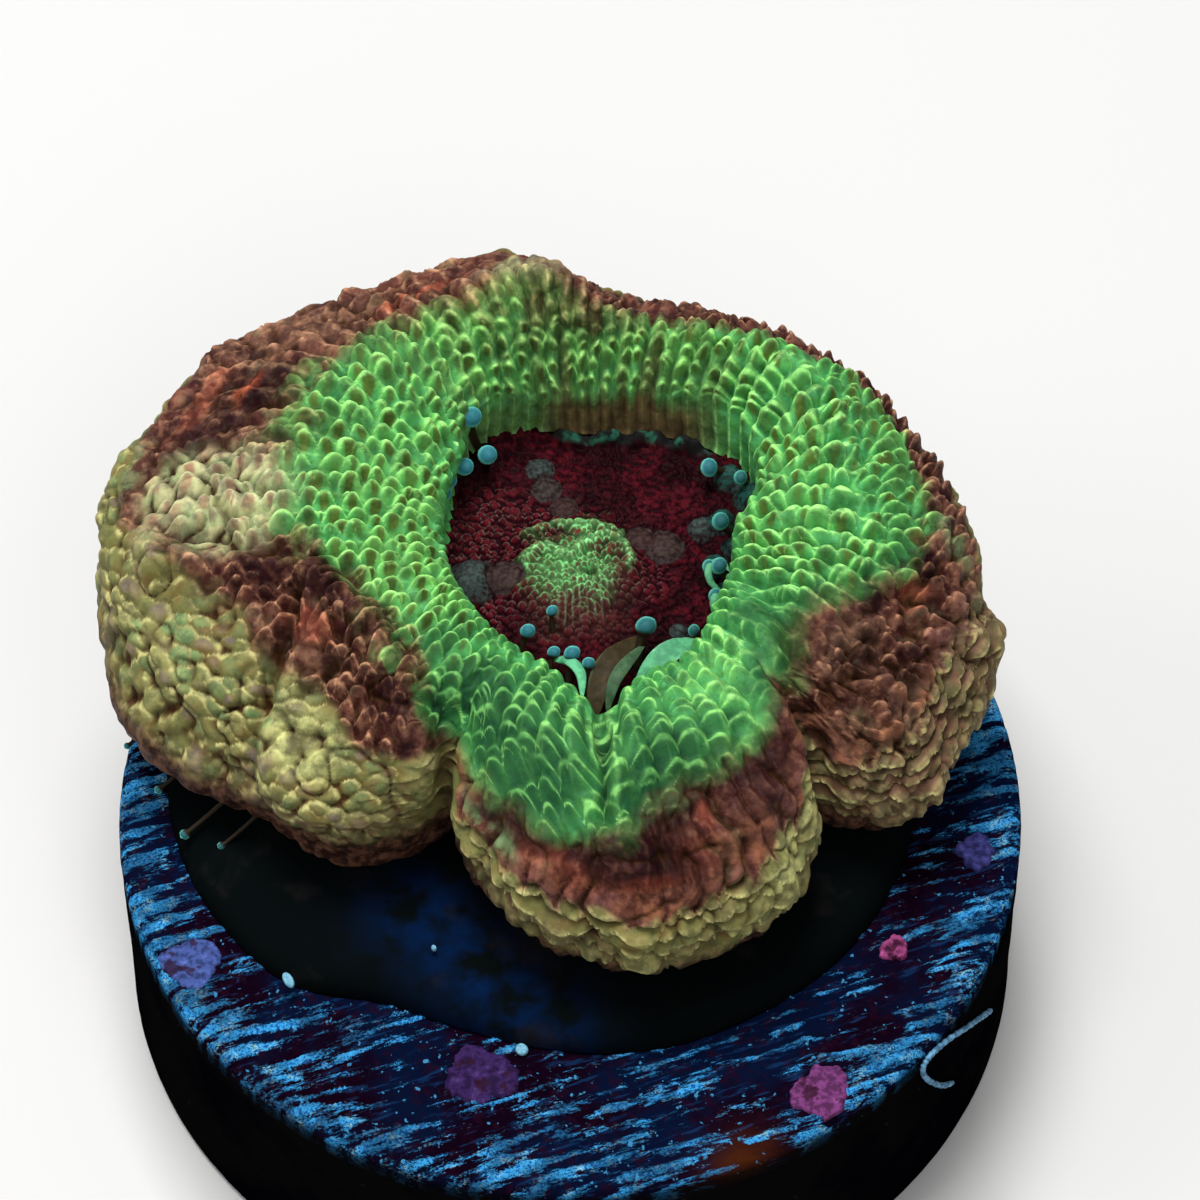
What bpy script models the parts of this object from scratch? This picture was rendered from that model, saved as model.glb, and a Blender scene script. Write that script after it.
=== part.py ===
"""A large-polyp acan coral stuck on a round ceramic frag disc.

Metres, +Z up. The origin is the centre of the disc's underside, and -Y is the side that faces a viewer.
The coral is a stack of closed rings: each ring goes once round the mouth, and the rings run from the mouth
over the oral disc, up the wall of the hollow, over the puffy ring of tissue and down the skirt to the cut.
"""
import math

import bmesh
import bpy
import numpy as np
from mathutils import Vector

MM = 0.001
GAP = 0.3 * MM  # between pieces that touch
SHARP_ANGLE = math.radians(40)

DISC_RADIUS = 16.0 * MM
DISC_THICKNESS = 9.0 * MM
DISC_EDGE = 0.6 * MM  # worn round of the top edge
DISC_FOOT_EDGE = 0.35 * MM
DISC_SEGMENTS = 96

PAD_THICKNESS = 0.8 * MM
PAD_SEGMENTS = 64

MOUTH_CENTRE = Vector((0.8, 6.5, 0.0)) * MM
CORAL_CUT = DISC_THICKNESS + GAP + PAD_THICKNESS + GAP  # height of the flat cut that the coral rests on
CORAL_SEGMENTS = 96
RINGS_PER_SPAN = 2

# Outlines round the mouth, as (angle in degrees from +X towards +Y, value in mm).
REACH = (  # the skirt at its widest: three near lobes, and one long far side
    (0, 13.6), (12, 12.9), (25, 12.6), (37, 12.4), (52, 11.7), (66, 10.8), (78, 10.4), (90, 10.9),
    (103, 12.5), (116, 13.0), (132, 14.2), (147, 15.9), (160, 16.7), (180, 17.5), (195, 16.7),
    (208, 15.5), (217, 14.7), (226, 14.6), (233, 13.7), (238.5, 12.2), (242, 10.9), (246, 11.8),
    (254, 13.4), (265, 15.1), (277, 15.9), (290, 15.5), (300, 14.4), (306, 13.1), (310, 11.8),
    (314, 13.3), (320, 14.6), (333, 14.6), (348, 14.8),
)
REACH_HEIGHT = (
    (0, 5.6), (30, 6.2), (70, 6.8), (103, 7.4), (135, 6.8), (160, 6.4), (180, 6.2), (210, 5.4), (233, 4.8),
    (242, 5.2), (277, 4.5), (310, 4.5), (322, 4.2), (345, 5.0),
)
LIP = (  # the rim of the hollow, which narrows to a point on the near side
    (0, 5.3), (18, 6.3), (45, 7.5), (75, 7.1), (100, 6.8), (125, 7.2), (140, 6.2), (158, 5.8),
    (195, 5.5), (225, 5.7), (245, 6.0), (260, 6.6), (267, 7.4), (272.5, 8.2), (278, 7.3), (300, 6.6),
    (321, 5.7), (340, 5.4),
)
LIP_HEIGHT = ((0, 7.6), (60, 6.9), (90, 6.9), (130, 7.2), (180, 7.8), (240, 7.8), (272, 7.6), (310, 7.8))
CREST_HEIGHT = (
    (0, 9.0), (45, 8.9), (80, 8.9), (103, 10.5), (125, 9.4), (160, 9.3), (200, 9.2), (240, 8.7), (275, 8.9),
    (310, 8.5), (335, 8.9),
)
FOOT = (
    (0, 5.6), (45, 7.3), (90, 6.6), (122, 7.2), (150, 5.8), (200, 5.2), (250, 5.8), (272, 6.6), (300, 6.0),
)
ORAL_DISC_HEIGHT = 4.3
FOOT_RISE = 0.2  # the oral disc turns up a little where it meets the wall
WALL_SHARE = 0.45  # how far the middle of the wall has come from the foot's radius to the lip's
MOUTH_RADIUS = 0.5
# Rings from the mouth to the foot of the wall, as (share of the foot's radius, height over the oral disc).
MOUTH_CONE = ((0.17, 1.35), (0.42, 0.75), (0.66, 0.15), (0.86, -0.05))
MOUTH_HEIGHT = 1.0
# Rings from the crest to the cut, each as a share of the way from the lip out to the widest ring.
CREST_SHARE = 0.34
SHOULDER_SHARE = 0.66
SHOULDER_HEIGHT_SHARE = 0.72  # of the way up from the widest ring to the crest
SKIRT_SHARE = 0.9
SKIRT_HEIGHT_SHARE = 0.36
UNDER_INSET = (  # in mm, from the widest ring
    (0, 0.5), (60, 0.6), (150, 0.4), (185, 0.1), (203, -0.9), (213, -0.3), (222, 0.5), (242, 0.5),
    (277, 0.7), (310, 0.5), (330, 0.5),
)
UNDER_HEIGHT_SHARE = 0.42  # of the way up from the cut to the widest ring
HEM_INSET = (
    (0, 2.0), (90, 2.0), (180, 1.6), (205, 0.9), (222, 1.0), (236, 1.1), (246, 1.9), (277, 2.2), (320, 2.0),
)
HEM_RISE = 0.25
CUT_INSET = 3.0

# Folds pressed into the top of the tissue: points in mm on the plan, width and depth.
FOLDS = (
    (((-4.4, -3.4), (-4.6, -1.4), (-5.0, 0.5), (-6.0, 2.3)), 1.5, 1.2),
    (((8.7, -3.2), (7.6, -1.0), (7.6, 2.2), (6.2, 3.8)), 1.5, 1.0),
    (((1.2, -1.7), (1.1, -3.4), (0.9, -5.0)), 0.9, 0.6),
)
FOLD_START, FOLD_WHOLE = 4.0, 7.0  # heights between which the folds come in, in mm over the disc

PAD_EDGE = 1.2 * MM  # how far in its rounded edge runs
PAD = (  # angle about the disc's axis, and radius
    (0, 12.3), (30, 13.2), (60, 14.6), (90, 15.0), (120, 15.2), (150, 14.9), (180, 14.2), (203, 13.2),
    (218, 12.3), (231, 10.7), (246, 10.2), (264, 10.3), (283, 10.7), (300, 10.9), (330, 11.6),
)

# Crusts on the disc's top: name, place in mm, radius, thickness, lobes, colour.
CRUSTS = (
    ("coralline_crust_front_right", (8.5, -12.1), 1.05, 0.4, 7, (0.56, 0.09, 0.13)),
    ("coralline_crust_front_left", (-3.1, -11.3), 1.15, 0.3, 6, (0.24, 0.06, 0.16)),
    ("coralline_crust_right", (11.2, -6.3), 0.45, 0.3, 5, (0.50, 0.07, 0.13)),
    ("coralline_crust_right_rim", (14.3, -2.2), 0.7, 0.3, 5, (0.22, 0.12, 0.30)),
    ("coralline_crust_left_rim", (-13.2, -6.6), 0.95, 0.3, 6, (0.13, 0.12, 0.42)),
)
CRUST_SEGMENTS = 28
CRUST_LOBE = 0.14  # of the radius
CRUST_EDGE = 0.5  # of the radius
# The rounded edge of the pad and the crusts: how far in, as a share of the edge, and up, of the thickness.
EDGE_PROFILE = ((0.12, 0.0), (0.0, 0.35), (0.2, 0.8), (0.62, 1.0))

TUBE_RADIUS = 0.14 * MM
TUBE_STAND_OFF = TUBE_RADIUS + 0.06 * MM  # of its centre line from the disc's side
TUBE_STEPS = 5  # points on each stretch of its route
# The tube's route over the disc's side, as (angle in degrees, depth under the disc's top in mm).
TUBE_ROUTE = (
    (337.3, 4.1), (333.4, 3.0), (330.2, 2.2), (324.8, 1.0), (321.4, 0.55), (319.3, 0.55), (318.6, 1.0),
    (320.0, 2.1), (323.2, 3.6), (326.4, 4.6),
)


def clear_scene():
    for thing in list(bpy.data.objects):
        bpy.data.objects.remove(thing, do_unlink=True)


def material(name, colour, roughness, metallic=0.0):
    made = bpy.data.materials.new(name)
    made.use_nodes = True
    shader = made.node_tree.nodes["Principled BSDF"]
    shader.inputs["Base Color"].default_value = (*colour, 1.0)
    shader.inputs["Roughness"].default_value = roughness
    shader.inputs["Metallic"].default_value = metallic
    made.diffuse_color = (*colour, 1.0)
    return made


def round_curve(points, degrees):
    """A smooth closed curve through the points, read at each angle: a cubic with the neighbours' slope."""
    at = np.array([p[0] for p in points], float)
    value = np.array([p[1] for p in points], float)
    at = np.concatenate([at[-2:] - 360, at, at[:3] + 360])
    value = np.concatenate([value[-2:], value, value[:3]])
    slope = np.gradient(value, at)
    i = np.clip(np.searchsorted(at, degrees, side="right") - 1, 1, len(at) - 3)
    span = at[i + 1] - at[i]
    t = (degrees - at[i]) / span
    return (
        value[i] * (1 + 2 * t) * (1 - t) ** 2
        + slope[i] * span * t * (1 - t) ** 2
        + value[i + 1] * t**2 * (3 - 2 * t)
        + slope[i + 1] * span * t**2 * (t - 1)
    )


def smooth_rings(knots, steps):
    """More rings between the knot rings, on a Catmull-Rom curve through them."""
    padded = np.concatenate([2 * knots[:1] - knots[1:2], knots, 2 * knots[-1:] - knots[-2:-1]])
    rings = []
    for k in range(len(knots) - 1):
        a, b, c, d = padded[k : k + 4]
        for step in range(steps):
            t = step / steps
            rings.append(
                0.5 * (2 * b + (c - a) * t + (2 * a - 5 * b + 4 * c - d) * t**2 + (3 * b - a - 3 * c + d) * t**3)
            )
    rings.append(knots[-1])
    return np.array(rings)


def fold_depth(plan):
    """How far the folds press down at each point of the plan, in mm."""
    depth = np.zeros(plan.shape[:-1])
    for route, width, deep in FOLDS:
        nearest = np.full(plan.shape[:-1], np.inf)
        for start, end in zip(route, route[1:]):
            start = np.array(start)
            along = np.array(end) - start
            share = np.clip((plan - start) @ along / (along @ along), 0, 1)
            gap = plan - start - share[..., None] * along
            nearest = np.minimum(nearest, np.hypot(gap[..., 0], gap[..., 1]))
        depth += deep * np.exp(-((nearest / width) ** 2))
    return depth


def coral_rings():
    """The coral's rings, from the mouth to the cut, in mm: radius and height over the disc's top."""
    degrees = np.arange(CORAL_SEGMENTS) * 360 / CORAL_SEGMENTS
    reach, reach_height = round_curve(REACH, degrees), round_curve(REACH_HEIGHT, degrees)
    lip, lip_height = round_curve(LIP, degrees), round_curve(LIP_HEIGHT, degrees)
    crest_height = round_curve(CREST_HEIGHT, degrees)
    foot = round_curve(FOOT, degrees)
    cut = (CORAL_CUT - DISC_THICKNESS) / MM
    level = np.ones_like(degrees)
    knots = [(MOUTH_RADIUS * level, (ORAL_DISC_HEIGHT + MOUTH_HEIGHT) * level)]
    knots += [(share * foot, (ORAL_DISC_HEIGHT + rise) * level) for share, rise in MOUTH_CONE]
    knots.append((foot, (ORAL_DISC_HEIGHT + FOOT_RISE) * level))
    knots.append((foot + WALL_SHARE * (lip - foot), 0.5 * (ORAL_DISC_HEIGHT + lip_height)))
    knots.append((lip, lip_height))
    out, up = reach - lip, crest_height - reach_height
    knots.append((lip + CREST_SHARE * out, crest_height))
    knots.append((lip + SHOULDER_SHARE * out, reach_height + SHOULDER_HEIGHT_SHARE * up))
    knots.append((lip + SKIRT_SHARE * out, reach_height + SKIRT_HEIGHT_SHARE * up))
    knots.append((reach, reach_height))
    under_inset, hem_inset = round_curve(UNDER_INSET, degrees), round_curve(HEM_INSET, degrees)
    knots.append((reach - under_inset, cut + UNDER_HEIGHT_SHARE * (reach_height - cut)))
    knots.append((reach - hem_inset, (cut + HEM_RISE) * level))
    knots.append((reach - CUT_INSET, cut * level))
    rings = smooth_rings(np.array(knots), RINGS_PER_SPAN)
    radius, height = rings[:, 0], rings[:, 1]
    turn = np.radians(degrees)
    centre = np.array(MOUTH_CENTRE.xy) / MM
    plan = centre + np.stack([radius * np.cos(turn), radius * np.sin(turn)], axis=-1)
    on_top = np.clip((height - FOLD_START) / (FOLD_WHOLE - FOLD_START), 0, 1) * (radius > lip)
    height = np.maximum(height - on_top * fold_depth(plan), cut)
    height[-1] = cut
    return np.concatenate([plan, height[..., None]], axis=-1)


def ring_of(bm, points):
    """A closed ring of vertices and edges."""
    vertices = [bm.verts.new(point) for point in points]
    return [bm.edges.new(pair) for pair in zip(vertices, vertices[1:] + vertices[:1])]


def skin(name, rings, look):
    """One closed body through a stack of rings, with a fan of faces over the first ring and the last."""
    bm = bmesh.new()
    loops = [ring_of(bm, ring) for ring in rings]
    for near, far in zip(loops, loops[1:]):
        bmesh.ops.bridge_loops(bm, edges=near + far)
    lids = [bmesh.ops.edgeloop_fill(bm, edges=loop)["faces"] for loop in (loops[0], loops[-1])]
    bmesh.ops.poke(bm, faces=[face for lid in lids for face in lid])
    bmesh.ops.recalc_face_normals(bm, faces=bm.faces)
    finish(name, bm, look)


def finish(name, bm, look):
    """Turns the bmesh into a named object, smooth but for its sharp edges."""
    mesh = bpy.data.meshes.new(name)
    bm.to_mesh(mesh)
    bm.free()
    for polygon in mesh.polygons:
        polygon.use_smooth = True
    mesh.set_sharp_from_angle(angle=SHARP_ANGLE)
    mesh.materials.append(look)
    made = bpy.data.objects.new(name, mesh)
    bpy.context.scene.collection.objects.link(made)


def coral():
    rings = coral_rings()
    rings[..., 2] += DISC_THICKNESS / MM
    skin("coral", rings * MM, material("coral_tissue", (0.16, 0.52, 0.08), 0.45))


def frag_disc():
    """A plain thick disc: a circle's face extruded up, with its top edge worn round and its foot eased."""
    bm = bmesh.new()
    bmesh.ops.create_circle(bm, cap_ends=True, segments=DISC_SEGMENTS, radius=DISC_RADIUS)
    raised = bmesh.ops.extrude_face_region(bm, geom=bm.faces[:])["geom"]
    top = [part for part in raised if isinstance(part, bmesh.types.BMVert)]
    bmesh.ops.translate(bm, verts=top, vec=(0, 0, DISC_THICKNESS))
    bmesh.ops.recalc_face_normals(bm, faces=bm.faces)
    for height, width, steps in ((DISC_THICKNESS, DISC_EDGE, 3), (0.0, DISC_FOOT_EDGE, 2)):
        edge = [e for e in bm.edges if all(abs(v.co.z - height) < 1e-6 for v in e.verts)]
        bmesh.ops.bevel(bm, geom=edge, offset=width, segments=steps, profile=0.5, affect="EDGES")
    finish("frag_disc", bm, material("frag_ceramic", (0.055, 0.075, 0.12), 0.75))


def mound(name, radii, centre, base, thickness, edge, look):
    """A low piece with a lobed outline and a rounded edge, whose foot is at the height base."""
    turn = np.arange(len(radii)) * 2 * math.pi / len(radii)
    rings = []
    for inset, share in EDGE_PROFILE:
        radius = radii - inset * edge
        height = np.full(len(radii), base + share * thickness)
        rings.append(
            np.stack([centre[0] + radius * np.cos(turn), centre[1] + radius * np.sin(turn), height], axis=-1)
        )
    skin(name, rings, look)


def glue_pad():
    degrees = np.arange(PAD_SEGMENTS) * 360 / PAD_SEGMENTS
    radii = round_curve(PAD, degrees) * MM
    look = material("reef_glue", (0.012, 0.016, 0.028), 0.35)
    mound("glue_pad", radii, (0, 0), DISC_THICKNESS + GAP, PAD_THICKNESS, PAD_EDGE, look)


def coralline_crusts():
    turn = np.arange(CRUST_SEGMENTS) * 2 * math.pi / CRUST_SEGMENTS
    for name, place, radius, thickness, lobes, colour in CRUSTS:
        radii = radius * (1 + CRUST_LOBE * np.cos(lobes * turn + place[0])) * MM
        centre = (place[0] * MM, place[1] * MM)
        look = material(name + "_skin", colour, 0.6)
        mound(name, radii, centre, DISC_THICKNESS + GAP, thickness * MM, CRUST_EDGE * radius * MM, look)


def worm_tube():
    """A thin chalky tube that curls down the disc's side: a bevelled curve with filled caps."""
    curve = bpy.data.curves.new("worm_tube", "CURVE")
    curve.dimensions = "3D"
    curve.bevel_depth = TUBE_RADIUS
    curve.bevel_resolution = 2
    curve.use_fill_caps = True
    route = np.array(TUBE_ROUTE)
    fine = smooth_rings(route, TUBE_STEPS)
    distance = DISC_RADIUS + TUBE_STAND_OFF
    spline = curve.splines.new("POLY")
    spline.points.add(len(fine) - 1)
    for point, (degrees, depth) in zip(spline.points, fine):
        turn = math.radians(degrees)
        point.co = (distance * math.cos(turn), distance * math.sin(turn), DISC_THICKNESS - depth * MM, 1)
    curve.materials.append(material("worm_tube_chalk", (0.55, 0.68, 0.85), 0.6))
    bpy.context.scene.collection.objects.link(bpy.data.objects.new("worm_tube", curve))


clear_scene()
frag_disc()
glue_pad()
coral()
coralline_crusts()
worm_tube()
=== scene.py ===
"""The looks of a large-polyp acan coral on its ceramic frag disc.

Everything is modelled in millimetres in the frame of the CAD part, and goes into its mesh in metres. The coral's
tissue is one surface of two parameters: the angle round the mouth, and a station from the mouth (0) over the oral
disc's foot (5), the wall's middle (6), the lip (7), the crest (8), the shoulder (9), the skirt (10), the widest
line (11), the underside (12) and the hem (13) to the cut (14).
"""

import itertools
import math

import bpy
import numpy as np
from bpy.props import FloatProperty, FloatVectorProperty, IntProperty, PointerProperty
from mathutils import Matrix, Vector


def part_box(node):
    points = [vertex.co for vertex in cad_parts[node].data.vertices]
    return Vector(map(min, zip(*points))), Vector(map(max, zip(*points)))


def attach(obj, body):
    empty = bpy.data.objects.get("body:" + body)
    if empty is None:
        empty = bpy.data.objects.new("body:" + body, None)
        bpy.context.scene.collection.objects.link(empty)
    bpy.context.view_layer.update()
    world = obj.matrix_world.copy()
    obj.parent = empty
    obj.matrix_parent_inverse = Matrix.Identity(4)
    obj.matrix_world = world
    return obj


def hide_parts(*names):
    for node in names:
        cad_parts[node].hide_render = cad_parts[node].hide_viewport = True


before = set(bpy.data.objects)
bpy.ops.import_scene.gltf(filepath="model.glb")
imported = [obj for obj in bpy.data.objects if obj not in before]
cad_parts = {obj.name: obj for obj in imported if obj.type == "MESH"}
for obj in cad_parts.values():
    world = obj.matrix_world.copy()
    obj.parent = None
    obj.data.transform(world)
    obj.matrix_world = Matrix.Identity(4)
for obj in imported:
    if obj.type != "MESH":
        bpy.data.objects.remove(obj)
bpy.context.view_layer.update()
MM = 0.001

bl_info = {
    "name": "Acan coral",
    "version": (1, 0, 0),
    "blender": (4, 5, 0),
    "location": "3D View > Sidebar > Coral",
    "description": "Grows the tissue, tentacles, disc and crusts of one coral polyp",
    "category": "Add Mesh",
}

# ---------------------------------------------------------------- the frame, in millimetres

DISC_LOW, DISC_HIGH = (np.array(corner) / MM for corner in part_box("frag_disc"))
DISC_RADIUS = 0.5 * (DISC_HIGH[0] - DISC_LOW[0])
DISC_TOP = DISC_HIGH[2]
PAD_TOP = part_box("glue_pad")[1].z / MM
CORAL_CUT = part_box("coral")[0].z / MM - DISC_TOP  # where the coral's column is cut, over the disc's top
MOUTH = np.array([0.8, 6.5])  # its place on the plan

# Outlines round the mouth, as (degrees from +X towards +Y, value).
REACH = (
    (0, 13.6), (12, 12.9), (25, 12.6), (37, 12.4), (52, 11.7), (66, 10.8), (78, 10.4), (90, 10.9), (103, 12.5),
    (116, 13.0), (132, 14.2), (147, 15.9), (160, 16.7), (180, 17.5), (195, 16.7), (208, 15.5), (217, 14.7),
    (226, 14.6), (233, 13.7), (238.5, 12.2), (242, 10.9), (246, 11.8), (254, 13.4), (265, 15.1), (277, 15.9),
    (290, 15.5), (300, 14.4), (306, 13.1), (310, 11.8), (314, 13.3), (320, 14.6), (333, 14.6), (348, 14.8),
)
REACH_HEIGHT = (
    (0, 5.6), (30, 6.2), (70, 6.8), (103, 7.4), (135, 6.8), (160, 6.4), (180, 6.2), (210, 5.4), (233, 4.8),
    (242, 5.2), (277, 4.5), (310, 4.5), (322, 4.2), (345, 5.0),
)
LIP = (
    (0, 5.3), (18, 6.3), (45, 7.5), (75, 7.1), (100, 6.8), (125, 7.2), (140, 6.2), (158, 5.8), (195, 5.5),
    (225, 5.7), (245, 6.0), (260, 6.6), (267, 7.4), (272.5, 8.2), (278, 7.3), (300, 6.6), (321, 5.7), (340, 5.4),
)
LIP_HEIGHT = ((0, 7.6), (60, 6.9), (90, 6.9), (130, 7.2), (180, 7.8), (240, 7.8), (272, 7.6), (310, 7.8))
CREST_HEIGHT = (
    (0, 9.0), (45, 8.9), (80, 8.9), (103, 10.5), (125, 9.4), (160, 9.3), (200, 9.2), (240, 8.7), (275, 8.9),
    (310, 8.5), (335, 8.9),
)
FOOT = ((0, 5.6), (45, 7.3), (90, 6.6), (122, 7.2), (150, 5.8), (200, 5.2), (250, 5.8), (272, 6.6), (300, 6.0))
UNDER_INSET = (
    (0, 0.5), (60, 0.6), (150, 0.4), (185, 0.1), (203, -0.9), (213, -0.3), (222, 0.5), (242, 0.5), (277, 0.7),
    (310, 0.5), (330, 0.5),
)
HEM_INSET = (
    (0, 2.0), (90, 2.0), (180, 1.6), (205, 0.9), (222, 1.0), (236, 1.1), (246, 1.9), (277, 2.2), (320, 2.0),
)
CUT_INSET = 3.0

ORAL_HEIGHT = 4.3  # the oral disc's height over the disc's top
MOUTH_RADIUS, MOUTH_RISE = 0.5, 1.0
# Rings from the mouth to the foot of the wall, as (share of the foot's radius, height over the oral disc).
MOUTH_CONE = ((0.17, 1.35), (0.42, 0.75), (0.66, 0.15), (0.86, -0.05))
FOOT_RISE = 0.2  # the oral disc turns up a little where it meets the wall
WALL_SHARE = 0.45  # how far the middle of the wall has come from the foot's radius to the lip's
# Rings outside the lip, as shares of the way out to the widest ring and of the way up from it to the crest.
CREST_OUT = 0.34
SHOULDER_OUT, SHOULDER_UP = 0.66, 0.72
SKIRT_OUT, SKIRT_UP = 0.9, 0.36
UNDER_UP = 0.42  # of the way up from the cut to the widest ring
HEM_RISE = 0.25

# Stations of lines that run round the coral.
TISSUE_STARTS, LIP_LINE, WIDEST, CUT = 4.9, 7.0, 11.0, 14.0

# Colour borders, as (degrees, station): green tissue ends at the first, yellow skirt begins at the second.
GREEN_ENDS = (
    (0, 9.4), (20, 9.9), (36, 9.7), (50, 8.8), (64, 8.4), (85, 8.0), (105, 7.9), (122, 8.0), (140, 8.6),
    (160, 8.6), (181, 8.3), (197, 8.0), (218, 7.9), (230, 8.2), (241, 9.3), (255, 9.4), (266, 9.1), (277, 8.85),
    (288, 8.62), (302, 8.62), (314, 8.6), (324, 8.1), (335, 8.4), (346, 8.8),
)
YELLOW_BEGINS = (
    (0, 10.5), (30, 11.2), (90, 10.4), (140, 10.8), (165, 10.5), (177, 10.1), (186, 9.4), (197, 9.2), (206, 9.1),
    (214, 8.95), (222, 9.05), (230, 9.25), (240, 9.5), (253, 10.4), (277, 10.25), (292, 9.95), (304, 9.65),
    (316, 9.5), (324, 9.5), (336, 9.9), (350, 10.1),
)


# ---------------------------------------------------------------- numbers

def step(low, high, value):
    """0 under low, 1 over high, and 3t^2 - 2t^3 between them."""
    t = np.clip((value - low) / (high - low), 0, 1)
    return t * t * (3 - 2 * t)


def bell(distance, width):
    """1 where the distance is 0, and e to the minus (distance / width) squared away from there."""
    return np.exp(-((distance / width) ** 2))


def blend(start, end, share):
    """The straight run from start, where the share is 0, to end, where it is 1."""
    return start * (1 - share) + end * share


def unit(vectors):
    """Each vector over its own length."""
    return vectors / np.maximum(np.linalg.norm(vectors, axis=-1, keepdims=True), 1e-12)


def all_round(number):
    """That many angles, in degrees, an equal step apart all the way round."""
    return np.arange(number) * 360 / number


def compass(turn):
    """Unit steps on the plan at those angles, which are in radians."""
    return np.stack([np.cos(turn), np.sin(turn)], axis=-1)


def at_height(plan, height):
    """Places on the plan, made points at that height."""
    return np.concatenate([plan, np.broadcast_to(height, plan.shape[:-1])[..., None]], axis=-1)


NOISE_CELLS = 48


def noise(points, size, seed):
    """Value noise from -1 to 1: random numbers at the corners of cubes of that size, blended by the cubic step."""
    table = np.random.default_rng(seed).uniform(-1, 1, (NOISE_CELLS,) * 3)
    place = np.asarray(points) / size
    cell = np.floor(place).astype(int)
    t = place - cell
    t = t * t * (3 - 2 * t)
    total = np.zeros(place.shape[:-1])
    for corner in itertools.product((0, 1), repeat=3):
        weight = np.prod(np.where(corner, t, 1 - t), axis=-1)
        i, j, k = np.moveaxis((cell + corner) % NOISE_CELLS, -1, 0)
        total += weight * table[i, j, k]
    return total


def rough(points, size, seed, octaves=3):
    """Noise with octaves: each is half the size and half the height of the one before."""
    return sum(noise(points, size / 2**k, seed + k) / 2**k for k in range(octaves)) / (2 - 2 ** (1 - octaves))


def flow_noise(across, along, seed):
    """Noise on two numbers that run with the surface, with cells one unit of each in size."""
    return noise(np.stack(np.broadcast_arrays(across, along, 0.0), axis=-1), 1.0, seed)


def creases(values, sharpness):
    """Thin lines where noise crosses 0: one less its size, to a power."""
    return (1 - np.abs(values)) ** sharpness


def round_curve(points, degrees):
    """A smooth closed curve through (degrees, value) points: a cubic with the neighbours' slope."""
    at, value = np.array(points, float).T
    at = np.concatenate([at[-2:] - 360, at, at[:3] + 360])
    value = np.concatenate([value[-2:], value, value[:3]])
    slope = np.gradient(value, at)
    i = np.clip(np.searchsorted(at, degrees, side="right") - 1, 1, len(at) - 3)
    span = at[i + 1] - at[i]
    t = (degrees - at[i]) / span
    return (
        value[i] * (1 + 2 * t) * (1 - t) ** 2
        + slope[i] * span * t * (1 - t) ** 2
        + value[i + 1] * t**2 * (3 - 2 * t)
        + slope[i + 1] * span * t**2 * (t - 1)
    )


def through(knots, stations):
    """Catmull-Rom curves through knots[0], knots[1], ... read at each station, a number that counts knots."""
    padded = np.concatenate([2 * knots[:1] - knots[1:2], knots, 2 * knots[-1:] - knots[-2:-1]])
    k = np.clip(np.floor(stations).astype(int), 0, len(knots) - 2)
    t = (stations - k).reshape(-1, *[1] * (knots.ndim - 1))
    a, b, c, d = (padded[k + shift] for shift in range(4))
    return 0.5 * (2 * b + (c - a) * t + (2 * a - 5 * b + 4 * c - d) * t**2 + (3 * b - a - 3 * c + d) * t**3)


def route_gap(plan, route):
    """Distance from each point of the plan to a route of straight runs, less than 0 on the route's right."""
    nearest = np.full(plan.shape[:-1], np.inf)
    side = np.ones(plan.shape[:-1])
    for start, end in zip(np.array(route[:-1]), np.array(route[1:])):
        along = end - start
        share = np.clip((plan - start) @ along / (along @ along), 0, 1)
        gap = plan - start - share[..., None] * along
        distance = np.hypot(gap[..., 0], gap[..., 1])
        left = along[0] * gap[..., 1] - along[1] * gap[..., 0]
        side = np.where(distance < nearest, np.sign(left), side)
        nearest = np.minimum(nearest, distance)
    return nearest * side


# ---------------------------------------------------------------- meshes

def put_mesh(name, points, faces, look, marks=None, normals=None, replaces=()):
    """Makes the piece from points in mm and faces of 3 or 4 corners, and lets it ride on the frame.

    marks are numbers at each point, by attribute name, which the piece's look reads.
    """
    mesh = bpy.data.meshes.new(name)
    points = np.asarray(points, np.float32).reshape(-1, 3) * MM
    sizes = np.concatenate([np.full(len(group), group.shape[1]) for group in faces])
    corners = np.concatenate([group.reshape(-1) for group in faces])
    mesh.vertices.add(len(points))
    mesh.vertices.foreach_set("co", points.reshape(-1))
    mesh.loops.add(len(corners))
    mesh.loops.foreach_set("vertex_index", corners.astype(np.int32))
    mesh.polygons.add(len(sizes))
    mesh.polygons.foreach_set("loop_start", (np.cumsum(sizes) - sizes).astype(np.int32))
    mesh.polygons.foreach_set("use_smooth", np.ones(len(sizes), bool))
    for mark, values in (marks or {}).items():
        layer = mesh.attributes.new(mark, "FLOAT", "POINT")
        layer.data.foreach_set("value", np.asarray(values, np.float32).reshape(-1))
    mesh.update()
    if mesh.validate():
        raise RuntimeError(f"{name} has faces that Blender had to repair")
    if normals is not None:
        mesh.normals_split_custom_set_from_vertices(unit(normals).reshape(-1, 3).astype(float).tolist())
    mesh.materials.append(look)
    piece = bpy.data.objects.new(name, mesh)
    bpy.context.scene.collection.objects.link(piece)
    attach(piece, "root")
    if replaces:
        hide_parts(*replaces)
    return piece


def ring_faces(rows, columns, first=0, flip=False):
    """Four-cornered faces between rows of points that each close into a ring."""
    row, column = np.meshgrid(np.arange(rows - 1), np.arange(columns), indexing="ij")
    here, there = row * columns, (row + 1) * columns
    onward = (column + 1) % columns
    faces = first + np.stack([here + column, there + column, there + onward, here + onward], axis=-1)
    faces = faces.reshape(-1, 4)
    return faces[:, ::-1] if flip else faces


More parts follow.
